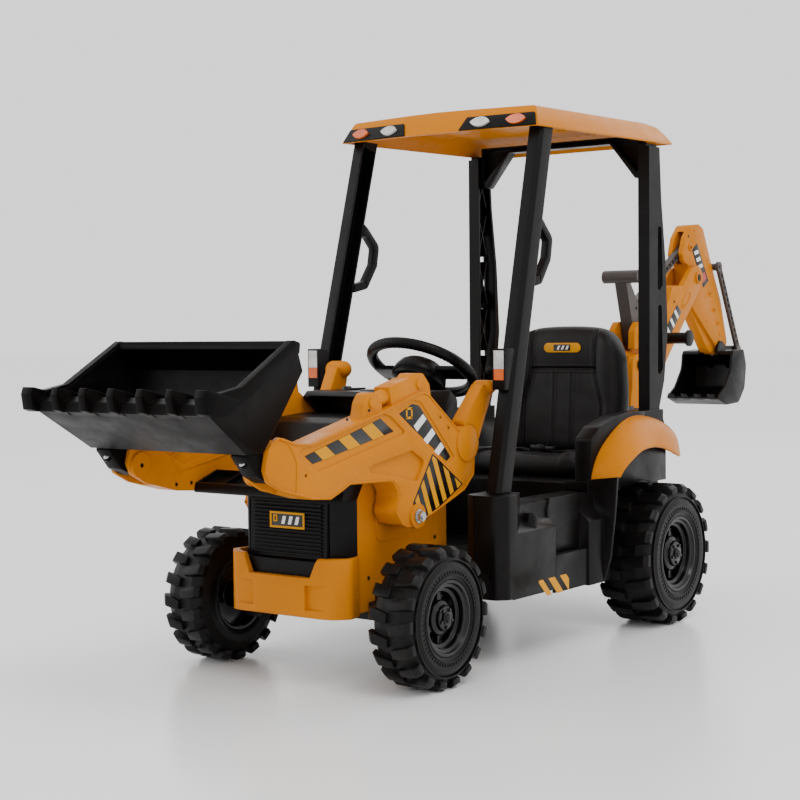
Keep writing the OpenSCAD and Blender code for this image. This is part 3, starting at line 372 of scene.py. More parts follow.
def screw(bm, at, axis, r=4.0, turn=0.0):
    """A pan head with a crossed recess, its underside at the point at."""
    q = Z.rotation_difference(axis.normalized())
    n = 24
    rings = [[bm.verts.new(turned(at, q, radius, h, a)) for a in turns(n)]
             for radius, h in ((r, 0.0), (r, 0.5), (r * 0.86, 1.3), (r * 0.6, 1.7))]
    star = [(a, r * (0.5 if abs(math.cos(2 * (a + turn))) > 0.93 else 0.14)) for a in turns(n)]
    for shrink, h in ((1, 1.7), (0.8, 0.6)):
        rings.append([bm.verts.new(turned(at, q, reach * shrink, h, a)) for a, reach in star])
    for a, b in zip(rings, rings[1:]):
        band(bm, a, b)
    bm.faces.new(rings[-1])


def clip(poly, a, b, keep):
    """The part of an outline between a <= keep(p) <= b."""
    for lim, sign in ((a, 1), (b, -1)):
        out = []
        for i in range(len(poly)):
            p, q = poly[i - 1], poly[i]
            dp, dq = sign * (keep(p) - lim), sign * (keep(q) - lim)
            if (dp < 0) != (dq < 0):
                t = dp / (dp - dq)
                out.append((p[0] + (q[0] - p[0]) * t, p[1] + (q[1] - p[1]) * t))
            if dq >= 0:
                out.append(q)
        poly = out
    return poly


def smooth_path(points, n=10):
    """A smooth curve through the points."""
    out = []
    for i in range(len(points) - 1):
        p0, p1 = points[max(0, i - 1)], points[i]
        p2, p3 = points[i + 1], points[min(len(points) - 1, i + 2)]
        for k in range(n):
            t = k / n
            out.append(0.5 * ((2 * p1) + (p2 - p0) * t + (2 * p0 - 5 * p1 + 4 * p2 - p3) * t * t
                              + (3 * p1 - p0 - 3 * p2 + p3) * t ** 3))
    out.append(points[-1])
    return out


# ---- seat ---------------------------------------------------------------------------------
def seam(d, width, depth):
    """A sewn groove at distance d (mm): a narrow valley with a small welt on each side."""
    welt = math.exp(-((abs(d) - 2.2 * width) / width) ** 2)
    return depth * math.exp(-(d / width) ** 2) - 0.35 * depth * welt


def step(a, b, t):
    """A smooth step from 0 at a to 1 at b."""
    t = min(1.0, max(0.0, (t - a) / (b - a)))
    return t * t * (3 - 2 * t)


def pad(name, nu, nv, front, back, node):
    """A closed pad from two height maps over the same grid; u and v run from -1 to 1."""
    bm = bmesh.new()
    for f in (front, back):
        grid_faces(bm, [[bm.verts.new(f(-1 + 2 * i / nu, -1 + 2 * j / nv)) for i in range(nu + 1)]
                        for j in range(nv + 1)])
    bmesh.ops.remove_doubles(bm, verts=bm.verts, dist=0.00005)
    o = piece(name, bm, SEAT, "body", smooth=True)
    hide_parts(node)


def rim(u, p):
    """How full the pad is at u: 1 in the middle, falling to 0 at its edge."""
    return (max(0.0, 1 - abs(u) ** p)) ** 0.5


LO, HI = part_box("seat_back")
SEAT_X = HI.x * 1000
BACK_Z0, BACK_Z1 = LO.z * 1000, HI.z * 1000
BACK_FRONT, BACK_REAR = (LO.y - SHIFT) * 1000, (HI.y - SHIFT) * 1000
LEAN_FROM, LEAN = 352, 0.072                # the back leans by this slope, above this height
HEAD_SEAM, HEAD_HIGH = 519, 97              # height of the cross seam, and of the head pad above it
CHANNEL = 22                                # the sewn channels' distance from the middle
BOLSTER, BOLSTER_NARROWS = 98, 18           # where the side bolsters start, and how much nearer at the head
WRINKLES = ((0.02, 0.035, 1.7, 0.9), (0.05, 0.03, 5.1, 0.3))    # scale in x, in z, offset, height


def lean_at(z):
    return (z - LEAN_FROM) * LEAN


def back_middle(z):
    return (BACK_FRONT + BACK_REAR) / 2 + lean_at(z) * 0.6


def back_xz(u, v):
    x = u * SEAT_X * (1 - 0.035 * step(0.2, 1, v))
    top = BACK_Z1 - 10 * u * u - 62 * abs(u) ** 7
    return x, BACK_Z0 + (v + 1) / 2 * (top - BACK_Z0)


def back_front(u, v):
    x, z = back_xz(u, v)
    face = BACK_FRONT + 3 + lean_at(z)
    bolster_x = BOLSTER - BOLSTER_NARROWS * step(430, 520, z)
    inner = step(bolster_x + 10, bolster_x - 8, abs(x))
    if abs(x) > bolster_x:
        across = min(1, max(0, (abs(x) - bolster_x) / (SEAT_X - bolster_x)))
        face -= 10 * math.sin(math.pi * across) ** 0.8
    face += inner * 3.5
    head = step(HEAD_SEAM, HEAD_SEAM + 11, z)
    face -= inner * head * 6 * math.sin(math.pi * min(1, max(0, (z - HEAD_SEAM) / HEAD_HIGH)))
    face += seam(abs(x) - bolster_x, 3.0, 3.6)
    if abs(x) < bolster_x:
        face += seam(z - HEAD_SEAM, 2.6, 3.4)
        if z < HEAD_SEAM:
            face += seam(abs(x) - CHANNEL, 2.0, 2.2) * step(HEAD_SEAM, HEAD_SEAM - 5, z)
    face += sum(noise.noise(Vector((x * a, z * b, c))) * high for a, b, c, high in WRINKLES)
    mid = back_middle(z)
    return P(x, mid + (face - mid) * (rim(u, 9) * rim(v, 14)), z)


def back_rear(u, v):
    x, z = back_xz(u, v)
    mid = back_middle(z)
    face = BACK_REAR - 4 + 1.5 * math.cos(u * 1.4) + seam(abs(abs(u) - 0.82) * SEAT_X, 2.5, -2.0)
    return P(x, mid + (face - mid) * rim(u, 9) * rim(v, 14), z)


pad("seat_back_pad", 150, 150, back_front, back_rear, "seat_back")

CLO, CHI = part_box("seat_cushion")
CZ0, CZ1 = CLO.z * 1000, CHI.z * 1000
CY0, CY1 = (CLO.y - SHIFT) * 1000, (CHI.y - SHIFT) * 1000
CUSHION_MID = (CZ0 + CZ1) / 2 - 4
SIDE_SEAM, CROSS_SEAM, MIDDLE_SEAM = 100, 212, 34      # the cushion's seams: x, y, x


def cushion_front(u):
    return CY0 + 10 * abs(u) ** 6 + 4 * u * u


def cushion_xy(u, v):
    return u * SEAT_X, CY1 + (v + 1) / 2 * (cushion_front(u) - CY1)


def cushion_top(u, v):
    x, y = cushion_xy(u, v)
    z = CZ1 - 9 + 3 * step(-0.2, 0.7, v)
    if abs(x) > SIDE_SEAM:
        z += 12 * math.sin(math.pi * (abs(x) - SIDE_SEAM) / (SEAT_X - SIDE_SEAM)) ** 0.8
    z -= seam(abs(x) - SIDE_SEAM, 3.0, 4.0)
    if abs(x) < SIDE_SEAM:
        z -= seam(y - CROSS_SEAM, 3.0, 3.6)
        if y > CROSS_SEAM:
            z -= seam(abs(x) - MIDDLE_SEAM, 2.4, 3.0)
            z += 1.5 * math.cos(x / MIDDLE_SEAM * math.pi)
    z += noise.noise(Vector((x * 0.025, y * 0.03, 9.3))) * 1.4
    return P(x, y, CUSHION_MID + (z - CUSHION_MID) * rim(u, 9) * rim(v, 10))


def cushion_base(u, v):
    x, y = cushion_xy(u, v)
    return P(x, y, CUSHION_MID + (CZ0 - CUSHION_MID) * rim(u, 12) * rim(v, 14))


pad("seat_cushion_pad", 130, 90, cushion_top, cushion_base, "seat_cushion")


def pill(half_w, half_h, cz, n=14):
    """The outline of a long badge with round ends, as (x, z)."""
    pts = []
    for s in (1, -1):
        for k in range(n + 1):
            a = -math.pi / 2 + math.pi * k / n
            pts.append((s * ((half_w - half_h) + half_h * math.cos(a)), cz + s * half_h * math.sin(a)))
    return pts


SEAT_BADGE_Z = 565
HEAD_FACE = lean_at(SEAT_BADGE_Z) + BACK_FRONT + 0.3
bm = bmesh.new()
front_plate(bm, pill(46, 10.5, SEAT_BADGE_Z), HEAD_FACE, 2.2)
piece("seat_badge", bm, YELLOW, "body", bevel=0.0006)
bm = bmesh.new()
front_plate(bm, [(-21, 558), (21, 558), (21, 572), (-21, 572)], HEAD_FACE - 2.2, 0.6, 2)
piece("seat_badge_plate", bm, INK, "body", bevel=0.0002)
bm = bmesh.new()
for x in (-13, -2, 9):
    front_plate(bm, [(x, 561), (x + 5, 561), (x + 9, 569), (x + 4, 569)], HEAD_FACE - 2.8, 0.4)
piece("seat_badge_bars", bm, WHITE, "body")


# ---- rear fenders, smooth shells over the CAD's flat-sided ones ---------------------------
# three lines along a fender, in (y, z): its inner edge, its crease and its outer lower edge
FENDER = (((74, 304), (84, 333), (109, 364), (154, 395), (211, 420),
           (267, 427), (330, 418), (385, 398), (420, 371), (432, 336)),
          ((71, 310), (84, 330), (112, 358), (158, 386), (211, 402),
           (262, 408), (304, 405), (350, 392), (381, 372), (391, 339)),
          ((74, 317), (92, 331), (119, 345), (166, 363), (214, 368),
           (250, 365), (270, 360), (300, 351), (318, 345), (329, 341)))
CREASE, CREASE_X = 0.52, 268.0              # where the middle line lies: share of the width, and x
FENDER_WALL = 4.0
FENDER_MIDDLE = Vector((235, 290, 0))       # the wall is drawn in towards this point of (y, z)
FENDER_ROWS, FENDER_COLUMNS = 20, 72
FLO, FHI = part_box("fender_left")


def even(points, n):
    """n + 1 evenly spaced points along a smooth curve through the points."""
    path = smooth_path([Vector((p[0], p[1], 0)) for p in points], 12)
    run = [0.0]
    for a, b in zip(path, path[1:]):
        run.append(run[-1] + (b - a).length)
    out, k = [], 0
    for i in range(n + 1):
        want = run[-1] * i / n
        while k < len(run) - 2 and run[k + 1] < want:
            k += 1
        f = (want - run[k]) / max(1e-6, run[k + 1] - run[k])
        out.append(path[k].lerp(path[k + 1], min(1, f)))
    return out


def fender_grid(s, shrink):
    """Rows of points over a fender, curved through its three lines and drawn in by shrink (mm)."""
    rows = [even(c, FENDER_COLUMNS) for c in FENDER]
    xs = (FLO.x * 1000, CREASE_X, FHI.x * 1000 - 0.5)
    grid = []
    for j in range(FENDER_ROWS + 1):
        t = j / FENDER_ROWS
        w = ((t - CREASE) * (t - 1) / CREASE, t * (t - 1) / (CREASE * (CREASE - 1)),
             t * (t - CREASE) / (1 - CREASE))
        line = []
        for a, b, c in zip(*rows):
            p = a * w[0] + b * w[1] + c * w[2]
            x = xs[0] * w[0] + xs[1] * w[1] + xs[2] * w[2]
            p = p + (FENDER_MIDDLE - p).normalized() * shrink * (1 - 0.3 * t)
            line.append(P(s * (x - shrink * 0.9 * t), p.x, p.y))
        grid.append(line)
    return grid


for side, s in SIDES:
    bm = bmesh.new()
    top, low = ([[bm.verts.new(p) for p in line] for line in fender_grid(s, shrink)]
                for shrink in (0.0, FENDER_WALL))
    for g in (top, low):
        grid_faces(bm, g)
    for j in (0, -1):
        grid_faces(bm, (top[j], low[j]))
    for i in (0, -1):
        grid_faces(bm, ([line[i] for line in top], [line[i] for line in low]))
    o = piece(f"fender_shell_{side}", bm, ORANGE, "body", bevel=0.0012)
    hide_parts(f"fender_{side}")


# ---- lap belt -----------------------------------------------------------------------------
def ribbon(bm, path, side, thick):
    """A strap through the points of path, side its half width as a vector."""
    rows = []
    for i, p in enumerate(path):
        a = path[max(0, i - 1)]
        b = path[min(len(path) - 1, i + 1)]
        up = (b - a).cross(side).normalized() * thick / 2
        if up.z < 0:
            up = -up
        rows.append([bm.verts.new(p + side * s + up * t * (1 if abs(s) < 0.95 else 0.5))
                     for s, t in ((-1, 1), (-0.9, 1), (0, 1), (0.9, 1), (1, 1), (1, -1), (0, -1), (-1, -1))])
    for a, b in zip(rows, rows[1:]):
        band(bm, a, b)
    bm.faces.new(rows[0][::-1])
    bm.faces.new(rows[-1])


def cushion_height(x, y):
    """Height of the cushion pad under (x, y), in mm."""
    u = x / SEAT_X
    v = 2 * (y - CY1) / (cushion_front(u) - CY1) - 1
    return cushion_top(u, v).z * 1000


def over_cushion(s, spots):
    """A smooth path over the cushion from spots of (x, y, height above it)."""
    return smooth_path([P(s * x, y, cushion_height(x, y) + h) for x, y, h in spots])


STRAP = ((118, 334, 4), (108, 326, 2.5), (96, 314, 2.5), (80, 300, 2.8), (62, 288, 3.2), (44, 281, 4.2),
         (33, 279, 5.6))
LOOSE_END = ((60, 288, 5.4), (66, 268, 4.2), (74, 252, 3.4), (86, 242, 2.6))
bm = bmesh.new()
for s in (1, -1):
    ribbon(bm, over_cushion(s, STRAP), Vector((s * 0.006, 0.0125, 0)), 0.0018)
ribbon(bm, over_cushion(-1, LOOSE_END), Vector((0.0115, 0.005, 0)), 0.0016)
belt = piece("lap_belt", bm, WEB, "body", bevel=0.0003)
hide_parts("seat_belt")
bm = bmesh.new()
top = cushion_height(0, 280)
flat_plate(bm, [(-27, 264), (12, 264), (12, 296), (-27, 296)], top + 1.5, 11, 5)
flat_plate(bm, [(10, 267), (33, 266), (36, 269), (36, 291), (33, 294), (10, 293)], top + 2.5, 8, 2)
flat_plate(bm, [(-15, 273), (3, 273), (3, 287), (-15, 287)], top + 12.3, 1.6, 3)
for x in (-22, -19.5):
    flat_plate(bm, [(x, 270), (x + 1.2, 270), (x + 1.2, 290), (x, 290)], top + 12.3, 0.8)
piece("belt_buckle", bm, GLOSS, "body", bevel=0.0012)

# ---- stickers on the loader arms and side panels ------------------------------------------
STRIP = [(-731, 409), (-529, 459), (-492, 435), (-711, 395)]
SIGN = [(-381, 390), (-286, 328), (-405, 273.5), (-442.5, 306)]
BADGE = [(-478, 464), (-438, 480), (-418, 476), (-322, 380), (-336, 373)]
PANEL_STRIPES = ([(-232, 155), (-218, 155), (-187, 124), (-204, 124), (-232, 151)],
                 [(-199, 155), (-177, 155), (-146, 124), (-168, 124)],
                 [(-158, 155), (-136, 155), (-126, 145), (-126, 124), (-127, 124)])
FACE = ARM_FACE * 1000
PANEL_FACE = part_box("side_panel_left")[1].x * 1000
SQUARE = ((-1, -1), (1, -1), (1, 1), (-1, 1))
SIGN_MIDDLE = Vector((-372, 330))
for side, s in SIDES:
    dark_bm, yellow_bm, white_bm = bmesh.new(), bmesh.new(), bmesh.new()
    side_plate(dark_bm, STRIP, s * (FACE - 3.2), s * (FACE - 2.3), 2)
    side_plate(dark_bm, SIGN, s * (FACE - 0.2), s * (FACE + 0.5), 4)
    side_plate(dark_bm, BADGE, s * (FACE - 2.2), s * (FACE - 1.4), 4)
    # yellow blocks along the strip, cut on the slant e
    start = STRIP[0]
    d = Vector((STRIP[1][0] - start[0], STRIP[1][1] - start[1])).normalized()
    e = Vector((20, -14)).normalized()
    for k in range(3):
        block = clip(STRIP, 25 + k * 64, 55 + k * 64,
                     lambda p: ((p[0] - start[0]) * e.y - (p[1] - start[1]) * e.x) / (d.x * e.y - d.y * e.x))
        if len(block) > 2:
            side_plate(yellow_bm, block, s * (FACE - 2.3), s * (FACE - 1.9))
    # yellow bars across the sign, inside its dark border
    small = [tuple(SIGN_MIDDLE + (Vector(p) - SIGN_MIDDLE) * 0.93) for p in SIGN]
    for k in range(7):
        bar = clip(small, -470 + k * 27, -457 + k * 27, lambda p: p[0] + (p[1] - SIGN_MIDDLE.y) * 0.42)
        if len(bar) > 2:
            side_plate(yellow_bm, bar, s * (FACE + 0.5), s * (FACE + 0.8))
    # a plain mark on the badge: a small square frame and three bars
    along, across = Vector((0.714, -0.70)), Vector((0.70, 0.714))
    for k in range(3):
        c = Vector((-416 + k * 27, 446 - k * 26.5))
        bar = [tuple(c + along * (i * 7 + j * 3) + across * j * 17) for i, j in SQUARE]
        side_plate(white_bm, bar, s * (FACE - 1.4), s * (FACE - 1.0))
    c = Vector((-448, 464))
    for i, j, w, h in ((0, 8, 9, 2), (0, -8, 9, 2), (7.5, 0, 2, 9), (-7.5, 0, 2, 9)):
        bar = [(c.x + i + a * w, c.y + j + b * h) for a, b in SQUARE]
        side_plate(yellow_bm, bar, s * (FACE - 1.4), s * (FACE - 1.0))
    piece(f"arm_sticker_ground_{side}", dark_bm, INK, "loader", bevel=0.0001)
    piece(f"arm_sticker_yellow_{side}", yellow_bm, YELLOW, "loader")
    piece(f"arm_sticker_bars_{side}", white_bm, WHITE, "loader")
    bm = bmesh.new()
    for stripe in PANEL_STRIPES:
        side_plate(bm, stripe, s * (PANEL_FACE + 0.1), s * (PANEL_FACE + 0.6))
    piece(f"panel_stripes_{side}", bm, YELLOW, "body")

# raised lip round each arm's outer face
ARM_EDGE = [(-796, 444), (-812, 438), (-824, 424), (-829, 405), (-831, 392), (-822, 374), (-789, 357),
            (-715, 338), (-669, 334), (-641, 344), (-617, 354), (-500, 350), (-484, 338), (-480, 326),
            (-488, 306), (-494, 296), (-476, 273), (-460, 266), (-437, 265), (-338, 297), (-281, 316),
            (-249, 343), (-247, 388), (-302, 431), (-388, 494), (-402, 499), (-416, 500), (-521, 472),
            (-713, 428), (-753, 431)]


def inset(points, d):
    """The outline moved inwards by d."""
    out = []
    for i, b in enumerate(points):
        a, c, b = Vector(points[i - 1]), Vector(points[(i + 1) % len(points)]), Vector(b)
        u, v = (b - a).normalized(), (c - b).normalized()
        n = Vector((u.y + v.y, -(u.x + v.x))).normalized()
        out.append(b - n * d / max(0.6, n.dot(Vector((u.y, -u.x)))))
    return out


def lip(bm, points, x_of):
    """A low rounded ridge following an outline; x_of gives x at a height above the surface."""
    rows = [[bm.verts.new(P(x_of(h), p.x, p.y)) for p in inset(points, d)]
            for d, h in ((1.0, -1.5), (1.0, 0.8), (1.8, 1.3), (3.2, 1.3), (4.0, 0.8), (4.0, -1.5))]
    for a, b in zip(rows, rows[1:] + rows[:1]):
        band(bm, a, b)


for side, s in SIDES:
    bm = bmesh.new()
    lip(bm, ARM_EDGE, lambda h: s * (FACE + h))
    piece(f"arm_lip_{side}", bm, ORANGE, "loader")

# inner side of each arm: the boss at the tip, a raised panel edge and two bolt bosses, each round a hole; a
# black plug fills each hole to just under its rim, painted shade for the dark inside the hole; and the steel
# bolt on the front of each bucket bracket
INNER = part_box("loader_arm_left")[0].x * 1000
PANEL_EDGE = [(-733, 399), (-712, 368), (-572, 393), (-520, 420), (-540, 440), (-700, 412)]
BRACKET_AXIS = Vector((0, -0.766, 0.643))
for side, s in SIDES:
    bm, hole_shade = bmesh.new(), bmesh.new()
    lip(bm, PANEL_EDGE, lambda h: s * (INNER - h))
    tip = P(s * INNER, -803, 388)
    lathe(bm, [(23, -1), (22.6, 3.6), (21.2, 4.8), (4.4, 4.8), (3.8, 4.4), (3.8, -0.6), (23, -1)],
          tip, X * -s, 40)
    # black plug in the tip hole: painted shade for the dark inside the hole
    lathe(hole_shade, [(3.7, -0.5), (3.7, 4.1), (0, 4.1)], tip, X * -s, 20)
    for y in (-719, -682):
        at = P(s * INNER, y, 349)
        lathe(bm, [(5.4, -1), (5.2, 0.9), (4.6, 1.2), (3.4, 1.2), (3.4, -0.6), (5.4, -1)], at, X * -s, 24)
        # black plug in the bolt hole: painted shade for the dark inside the hole
        lathe(hole_shade, [(3.3, -0.5), (3.3, 0.8), (0, 0.8)], at, X * -s, 20)
    piece(f"arm_inner_relief_{side}", bm, ORANGE, "loader")
    piece(f"arm_inner_hole_shade_{side}", hole_shade, INK, "loader")
    bm = bmesh.new()
    at = P(s * 148.5, -855.5, 405.8)
    lathe(bm, [(6.2, -1), (6.2, 0.6), (5.2, 1.9), (3.2, 2.7), (0, 2.9)], at, BRACKET_AXIS, 28)
    piece(f"bracket_bolt_{side}", bm, STEEL, "scoop")

# ---- boom and stick: stickers, raised bosses and the oval on the boom ---------------------
BOOM_MARK = ((775, 590), (798, 572), (872, 644), (849, 662))
STICK_MARK = ((960, 797), (1022, 704), (1052, 722), (987, 815))
STICK_BOSSES = ((1060, 690, 6.5), (1085, 650, 6.5), (1105, 616, 6.5))
SMALL_BOSSES = ((1118, 590, 4.5), (1119, 568, 5.5), (1098, 566, 4), (1042, 622, 4), (972, 846, 4),
                (1048, 774, 3.5))


def on_mark(mark, u, v):
    """A point of a four-sided outline: u along its first side, v along its last."""
    a, b, c, d = (Vector(q) for q in mark)
    return tuple((a.lerp(b, u)).lerp(d.lerp(c, u), v))


def slanted(mark, u0, u1, lean):
    """A bar across an outline from u0 to u1, leaning along it."""
    corners = ((u0, 0.18), (u1, 0.18), (u1 + lean, 0.82), (u0 + lean, 0.82))
    return [on_mark(mark, u, v) for u, v in corners]


def boss(bm, x, y, z, r, hole, high, s):
    """A raised ring round a hole, or a low dome when the hole is 0."""
    inner = [(hole, high), (hole, -1)] if hole else [(r * 0.4, high * 1.15), (0, high * 1.2)]
    ring = [(r + 0.8, -1), (r + 0.6, 0.3), (r - 0.4, high - 0.4), (r - 1.1, high)] + inner
    if hole:
        ring.append(ring[0])
    lathe(bm, ring, P(s * x, y, z), X * s, 28)


boom_x, stick_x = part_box("boom")[1].x * 1000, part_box("stick")[1].x * 1000
for side, s in SIDES:
    bm = bmesh.new()
    side_plate(bm, BOOM_MARK, s * (boom_x - 0.1), s * (boom_x + 0.5), 3)
    piece(f"boom_sticker_{side}", bm, INK, "boom_body", bevel=0.0001)
    bm = bmesh.new()
    for k in range(3):
        c = Vector((802 + k * 21.5, 596.5 + k * 20.5))
        side_plate(bm, [(c.x - 12, c.y + 6), (c.x - 5, c.y + 13), (c.x + 12, c.y - 5), (c.x + 5, c.y - 12)],
                   s * (boom_x + 0.5), s * (boom_x + 0.8))
    piece(f"boom_bars_mark_{side}", bm, WHITE, "boom_body")
    bm = bmesh.new()
    along, across = Vector((0.76, 0.65)), Vector((-0.65, 0.76))
    oval = [Vector((897, 673)) + along * 31 * math.cos(a) * (1 - 0.1 * math.sin(a))
            + across * 13.5 * math.sin(a) for a in turns(40)]
    lip(bm, [tuple(p) for p in oval], lambda h: s * (boom_x + h))
    boss(bm, boom_x, 882, 661, 5.5, 2.2, 1.8, s)
    boss(bm, boom_x, 963, 728, 14, 9.3, 4.4, s)
    boss(bm, boom_x, 690, 577, 9, 0, 1.6, s)
    piece(f"boom_bosses_{side}", bm, ORANGE, "boom_body", bevel=0.0002)
    bm = bmesh.new()
    for y, z, r in STICK_BOSSES:
        boss(bm, stick_x, y, z, r, 3.1, 2.2, s)
    for y, z, r in SMALL_BOSSES:
        boss(bm, stick_x, y, z, r, 0, 1.5, s)
    boss(bm, stick_x, 950, 803, 8.5, 4.4, 3, s)
    piece(f"stick_bosses_{side}", bm, ORANGE, "dipper", bevel=0.0002)
    bm = bmesh.new()
    side_plate(bm, STICK_MARK, s * (stick_x - 0.1), s * (stick_x + 0.5), 3)
    piece(f"stick_sticker_{side}", bm, INK, "dipper", bevel=0.0001)
    bm = bmesh.new()
    for u in (0.08, 0.26, 0.44):
        side_plate(bm, slanted(STICK_MARK, u, u + 0.09, 0.06), s * (stick_x + 0.5), s * (stick_x + 0.8))
    piece(f"stick_marks_{side}", bm, WHITE, "dipper")
    bm = bmesh.new()
    side_plate(bm, slanted(STICK_MARK, 0.72, 0.9, 0.0), s * (stick_x + 0.5), s * (stick_x + 0.8))
    piece(f"stick_red_mark_{side}", bm, RED, "dipper")

# ---- grille badge, a plain frame on a plate -----------------------------------------------
GRILLE_Y, BADGE_Z = -575, 281
BADGE_BARS = ((-39, 39, 10.4, 14.2), (-39, 39, -14.2, -10.4), (-39, -35, -10.4, 10.4), (35, 39, -10.4, 10.4),
              (-31, -28.5, -1, 6), (-24.5, -22, -1, 6), (-31, -22, 6, 8.5), (-31, -22, -3.5, -1))


def on_badge(outline):
    return [(x, BADGE_Z + z) for x, z in outline]


bm = bmesh.new()
for a, b, c, d in BADGE_BARS:
    front_plate(bm, on_badge(((a, c), (b, c), (b, d), (a, d))), GRILLE_Y, 1.6)
piece("grille_badge_frame", bm, YELLOW, "body", bevel=0.0002)
bm = bmesh.new()
plate = on_badge(((-39.5, -14.6), (39.5, -14.6), (39.5, 14.6), (-39.5, 14.6)))
front_plate(bm, plate, GRILLE_Y + 0.2, 0.9, 1.5)
piece("grille_badge_plate", bm, INK, "body", bevel=0.0002)
bm = bmesh.new()
for x in (-13, 2, 17):
    front_plate(bm, on_badge(((x, -7), (x + 7, -7), (x + 11, 7), (x + 4, 7))), GRILLE_Y - 0.7, 0.9)
piece("grille_badge_bars", bm, WHITE, "body", bevel=0.0001)

# ---- steering wheel and dash --------------------------------------------------------------
WHEEL = P(0, -168, 534)
TILT = Matrix.Rotation(math.radians(-30), 3, "X")
UP = TILT @ Z
GRIP_R = 100.5                              # middle of the grip, from the wheel's own
bm = bmesh.new()
lathe(bm, [(0, 12.5), (10, 12.4), (20, 11.6), (27, 9.8), (31.5, 7.6), (33, 7.2), (33.4, 5.4), (0, 5.4)],
      WHEEL, UP, 40)
piece("horn_cap", bm, GLOSS, "steering", bevel=0.0003)
bm = bmesh.new()
lathe(bm, [(30, -6), (38, 4), (44, 2), (51, -10), (54, -22), (52, -33), (40, -42), (21, -46), (21, -40),
           (30, -6)], WHEEL, UP, 56)
piece("wheel_hub_cover", bm, BLACK, "steering")


def round_grip(c, r):
    """Points round the grip, all but its upper side, at radius r; c points out from the wheel's middle."""
    angles = [math.radians(120 + 20 * j) for j in range(14)]
    return [c * (GRIP_R + r * math.cos(b)) + Vector((0, 0, r * math.sin(b))) for b in angles]


bm = bmesh.new()
for a in turns(72):
    c, t = Vector((math.cos(a), math.sin(a), 0)), Vector((-math.sin(a), math.cos(a), 0))
    rows = [[bm.verts.new(WHEEL + (TILT @ (v + t * w)) / 1000)
             for v, w in ((q, 1.2), (p, 0.9), (p, -0.9), (q, -1.2))]
            for p, q in zip(round_grip(c, 10.9), round_grip(c, 9.4))]
    grid_faces(bm, rows)
piece("wheel_grip_ribs", bm, BLACK, "steering")
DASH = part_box("dashboard")[1].z * 1000 - 0.2
bm = bmesh.new()
for x in (-84, 84):
    lathe(bm, [(0, 7), (7, 6.8), (8.6, 5.6), (9, 4), (9, 1.2), (12.5, 1), (13, 0), (0, 0)],
          P(x, -296, DASH), Z, 28)
for x in (-60, 56):
    flat_plate(bm, [(x - 10, -312), (x + 10, -312), (x + 10, -280), (x - 10, -280)], DASH, 4.2, 4)
piece("dash_switches", bm, GLOSS, "body", bevel=0.0006)
bm = bmesh.new()
flat_plate(bm, [(-30, -330), (30, -330), (34, -296), (-34, -296)], DASH, 1.8, 4)
piece("dash_gauge_plate", bm, INK, "body", bevel=0.0005)
bm = bmesh.new()
for k in range(4):
    x, y = -20 + k * 11, -308 + k * 1.5
    flat_plate(bm, [(x, -318), (x + 7, -318), (x + 7, y), (x, y)], DASH + 1.7, 0.5)
piece("dash_gauge_bars", bm, YELLOW, "body")

# ---- screws -------------------------------------------------------------------------------
heads = {}


def head(body, at, axis, r=4.0, turn=0.0):
    heads.setdefault(body, []).append((at, axis, r, turn))


for side, s in SIDES:
    for y, z in ((-620, 462), (-560, 474), (-355, 452), (-330, 432), (-731, 378)):
        head("loader", P(s * (FACE - 3), y, z), X * s, 2.7, y)
    for turn, (y, z) in enumerate(((-440, 350), (-300, 230), (-300, 380), (-500, 180)), 1):
        head("body", P(s * 118, y, z), X * s, 3.6, turn)
    head("loader", P(s * 121, -662, 344), -Y, 3, 1)
    for turn, (y, z) in enumerate(((760, 500), (834, 668), (860, 590)), 1):
        head("boom_body", P(s * 34, y, z), X * s, 3.4, turn)
    for y, z, _ in STICK_BOSSES:
        head("dipper", P(s * 18, y, z), X * s, 2.7, y)
    head("dipper", P(s * 20, 940, 830), X * s, 3.2, 1)
    head("swing", P(s * 38, 650, 470), X * s, 4, 1)
    for turn, z in enumerate((250, 400), 1):
        head("body", P(s * 55, 586, z), Y, 4.5, turn)
for body, rows in heads.items():
    bm = bmesh.new()
    for at, axis, r, turn in rows:
        screw(bm, at - axis.normalized() * 0.0002, axis, r, turn)
    piece(f"screws_{body}", bm, DARK, body)

# ---- wheels -------------------------------------------------------------------------------
RING = ((-1.3, -3), (-1.2, 0.5), (-0.5, 0.9), (0.5, 0.9), (1.2, 0.5), (1.3, -3))


def wheel_trim(end, side, body, s):
    """A washer with a domed cap on the axle's end, and two moulded rings and short ribs on the sidewall."""
    rim_lo, rim_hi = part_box(f"{end}_rim_{side}")
    lo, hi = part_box(f"{end}_tyre_{side}")
    mid = (rim_lo + rim_hi) / 2
    face = hi.x * 1000 if s > 0 else -lo.x * 1000
    radius = (hi.z - lo.z) / 2 * 1000

    def inside(d):
        """The point of the wheel's axis that lies d (mm) inside its outer face."""
        return Vector((s * (face - d) / 1000, mid.y, mid.z))

    bm = bmesh.new()
    lathe(bm, [(0, 5.6), (3.4, 5.2), (6, 3.9), (7.4, 1.6), (7.6, 0.2), (11, 0), (11, -0.8), (0, -0.8)],
          inside(6.6), X * s, 32)
    piece(f"hub_cap_{body}", bm, GLOSS, body, bevel=0.0003)
    bm = bmesh.new()
    for r, depth in ((radius * 0.6, 0.4), (radius * 0.815, 1.0)):
        profile = [(r + d, h) for d, h in RING]
        lathe(bm, profile + profile[:1], inside(depth), X * s, 96)
    for a in turns(60):
        out = Vector((0, math.cos(a), math.sin(a))) * radius / 1000
        t = Vector((0, -math.sin(a), math.cos(a))) * 0.0007
        p0, p1 = inside(1.2) + out * 0.625, inside(1.2) + out * 0.665
        prism(bm, [p0 - t, p1 - t, p1 + t, p0 + t], X * s * 0.0019)
    piece(f"sidewall_ring_{body}", bm, TYRE, body)


wheel_trim("front", "left", "wheel_fl", 1)
wheel_trim("front", "right", "wheel_fr", -1)
wheel_trim("rear", "left", "wheel_rl", 1)
wheel_trim("rear", "right", "wheel_rr", -1)

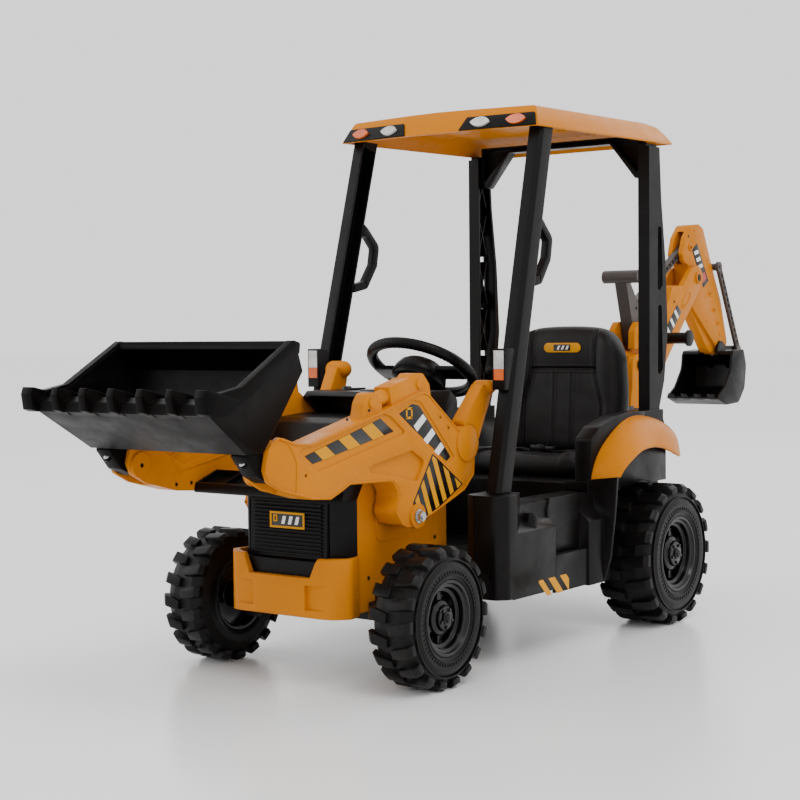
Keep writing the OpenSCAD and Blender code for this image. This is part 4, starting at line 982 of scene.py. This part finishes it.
# ---- camera -------------------------------------------------------------------------------
az, el, roll = (math.radians(a) for a in (36.2, 2.51, -0.6))
CAMERA_AT = Vector((1.8149, -2.7210 + SHIFT, 0.6100))
back = Vector((math.sin(az) * math.cos(el), -math.cos(az) * math.cos(el), math.sin(el)))
right = Vector((math.cos(az), math.sin(az), 0))
up = back.cross(right)
data = bpy.data.cameras.new("camera")
data.sensor_width = 36
data.lens = 73.16
data.clip_end = 60
cam = bpy.data.objects.new("camera", data)
bpy.context.scene.collection.objects.link(cam)
m = Matrix((math.cos(roll) * right + math.sin(roll) * up, math.cos(roll) * up - math.sin(roll) * right, back))
m = m.transposed().to_4x4()
m.translation = CAMERA_AT
cam.matrix_world = m
bpy.context.scene.camera = cam


# ---- stage --------------------------------------------------------------------------------
def area_light(name, at, target, size, power):
    data = bpy.data.lights.new(name, "AREA")
    data.shape = "RECTANGLE"
    data.size, data.size_y = size
    data.energy = power
    o = bpy.data.objects.new(name, data)
    o.location = at
    o.rotation_euler = (Vector(target) - Vector(at)).to_track_quat("-Z", "Y").to_euler()
    bpy.context.scene.collection.objects.link(o)


world = bpy.data.worlds.new("studio")
bpy.context.scene.world = world
world.use_nodes = True
sky = world.node_tree.nodes["Background"]
sky.inputs["Color"].default_value = (1, 1, 1, 1)
sky.inputs["Strength"].default_value = 1.4
area_light("key", (3.0, -1.6, 5.0), (0, 0, 0.5), (2.4, 2.4), 110)
area_light("fill", (-3.8, -3.0, 2.6), (0, 0, 0.5), (3.0, 3.0), 50)
area_light("rim", (1.5, 4.2, 3.6), (0, 0, 0.5), (3.5, 2.5), 55)
floor_mat = Nodes("floor_pale")
pale = floor_mat.mix(floor_mat.noise(0.8), (0.9, 0.9, 0.9), (0.92, 0.92, 0.92))
floor_mat.link(pale, floor_mat.bsdf.inputs["Base Color"])
floor_mat.bsdf.inputs["Roughness"].default_value = 0.22
mesh = bpy.data.meshes.new("floor")
FLOOR = 30
mesh.from_pydata([(x * FLOOR, y * FLOOR, 0) for x, y in SQUARE], [], [(0, 1, 2, 3)])
floor = bpy.data.objects.new("floor", mesh)
bpy.context.scene.collection.objects.link(floor)
mesh.materials.append(floor_mat.mat)
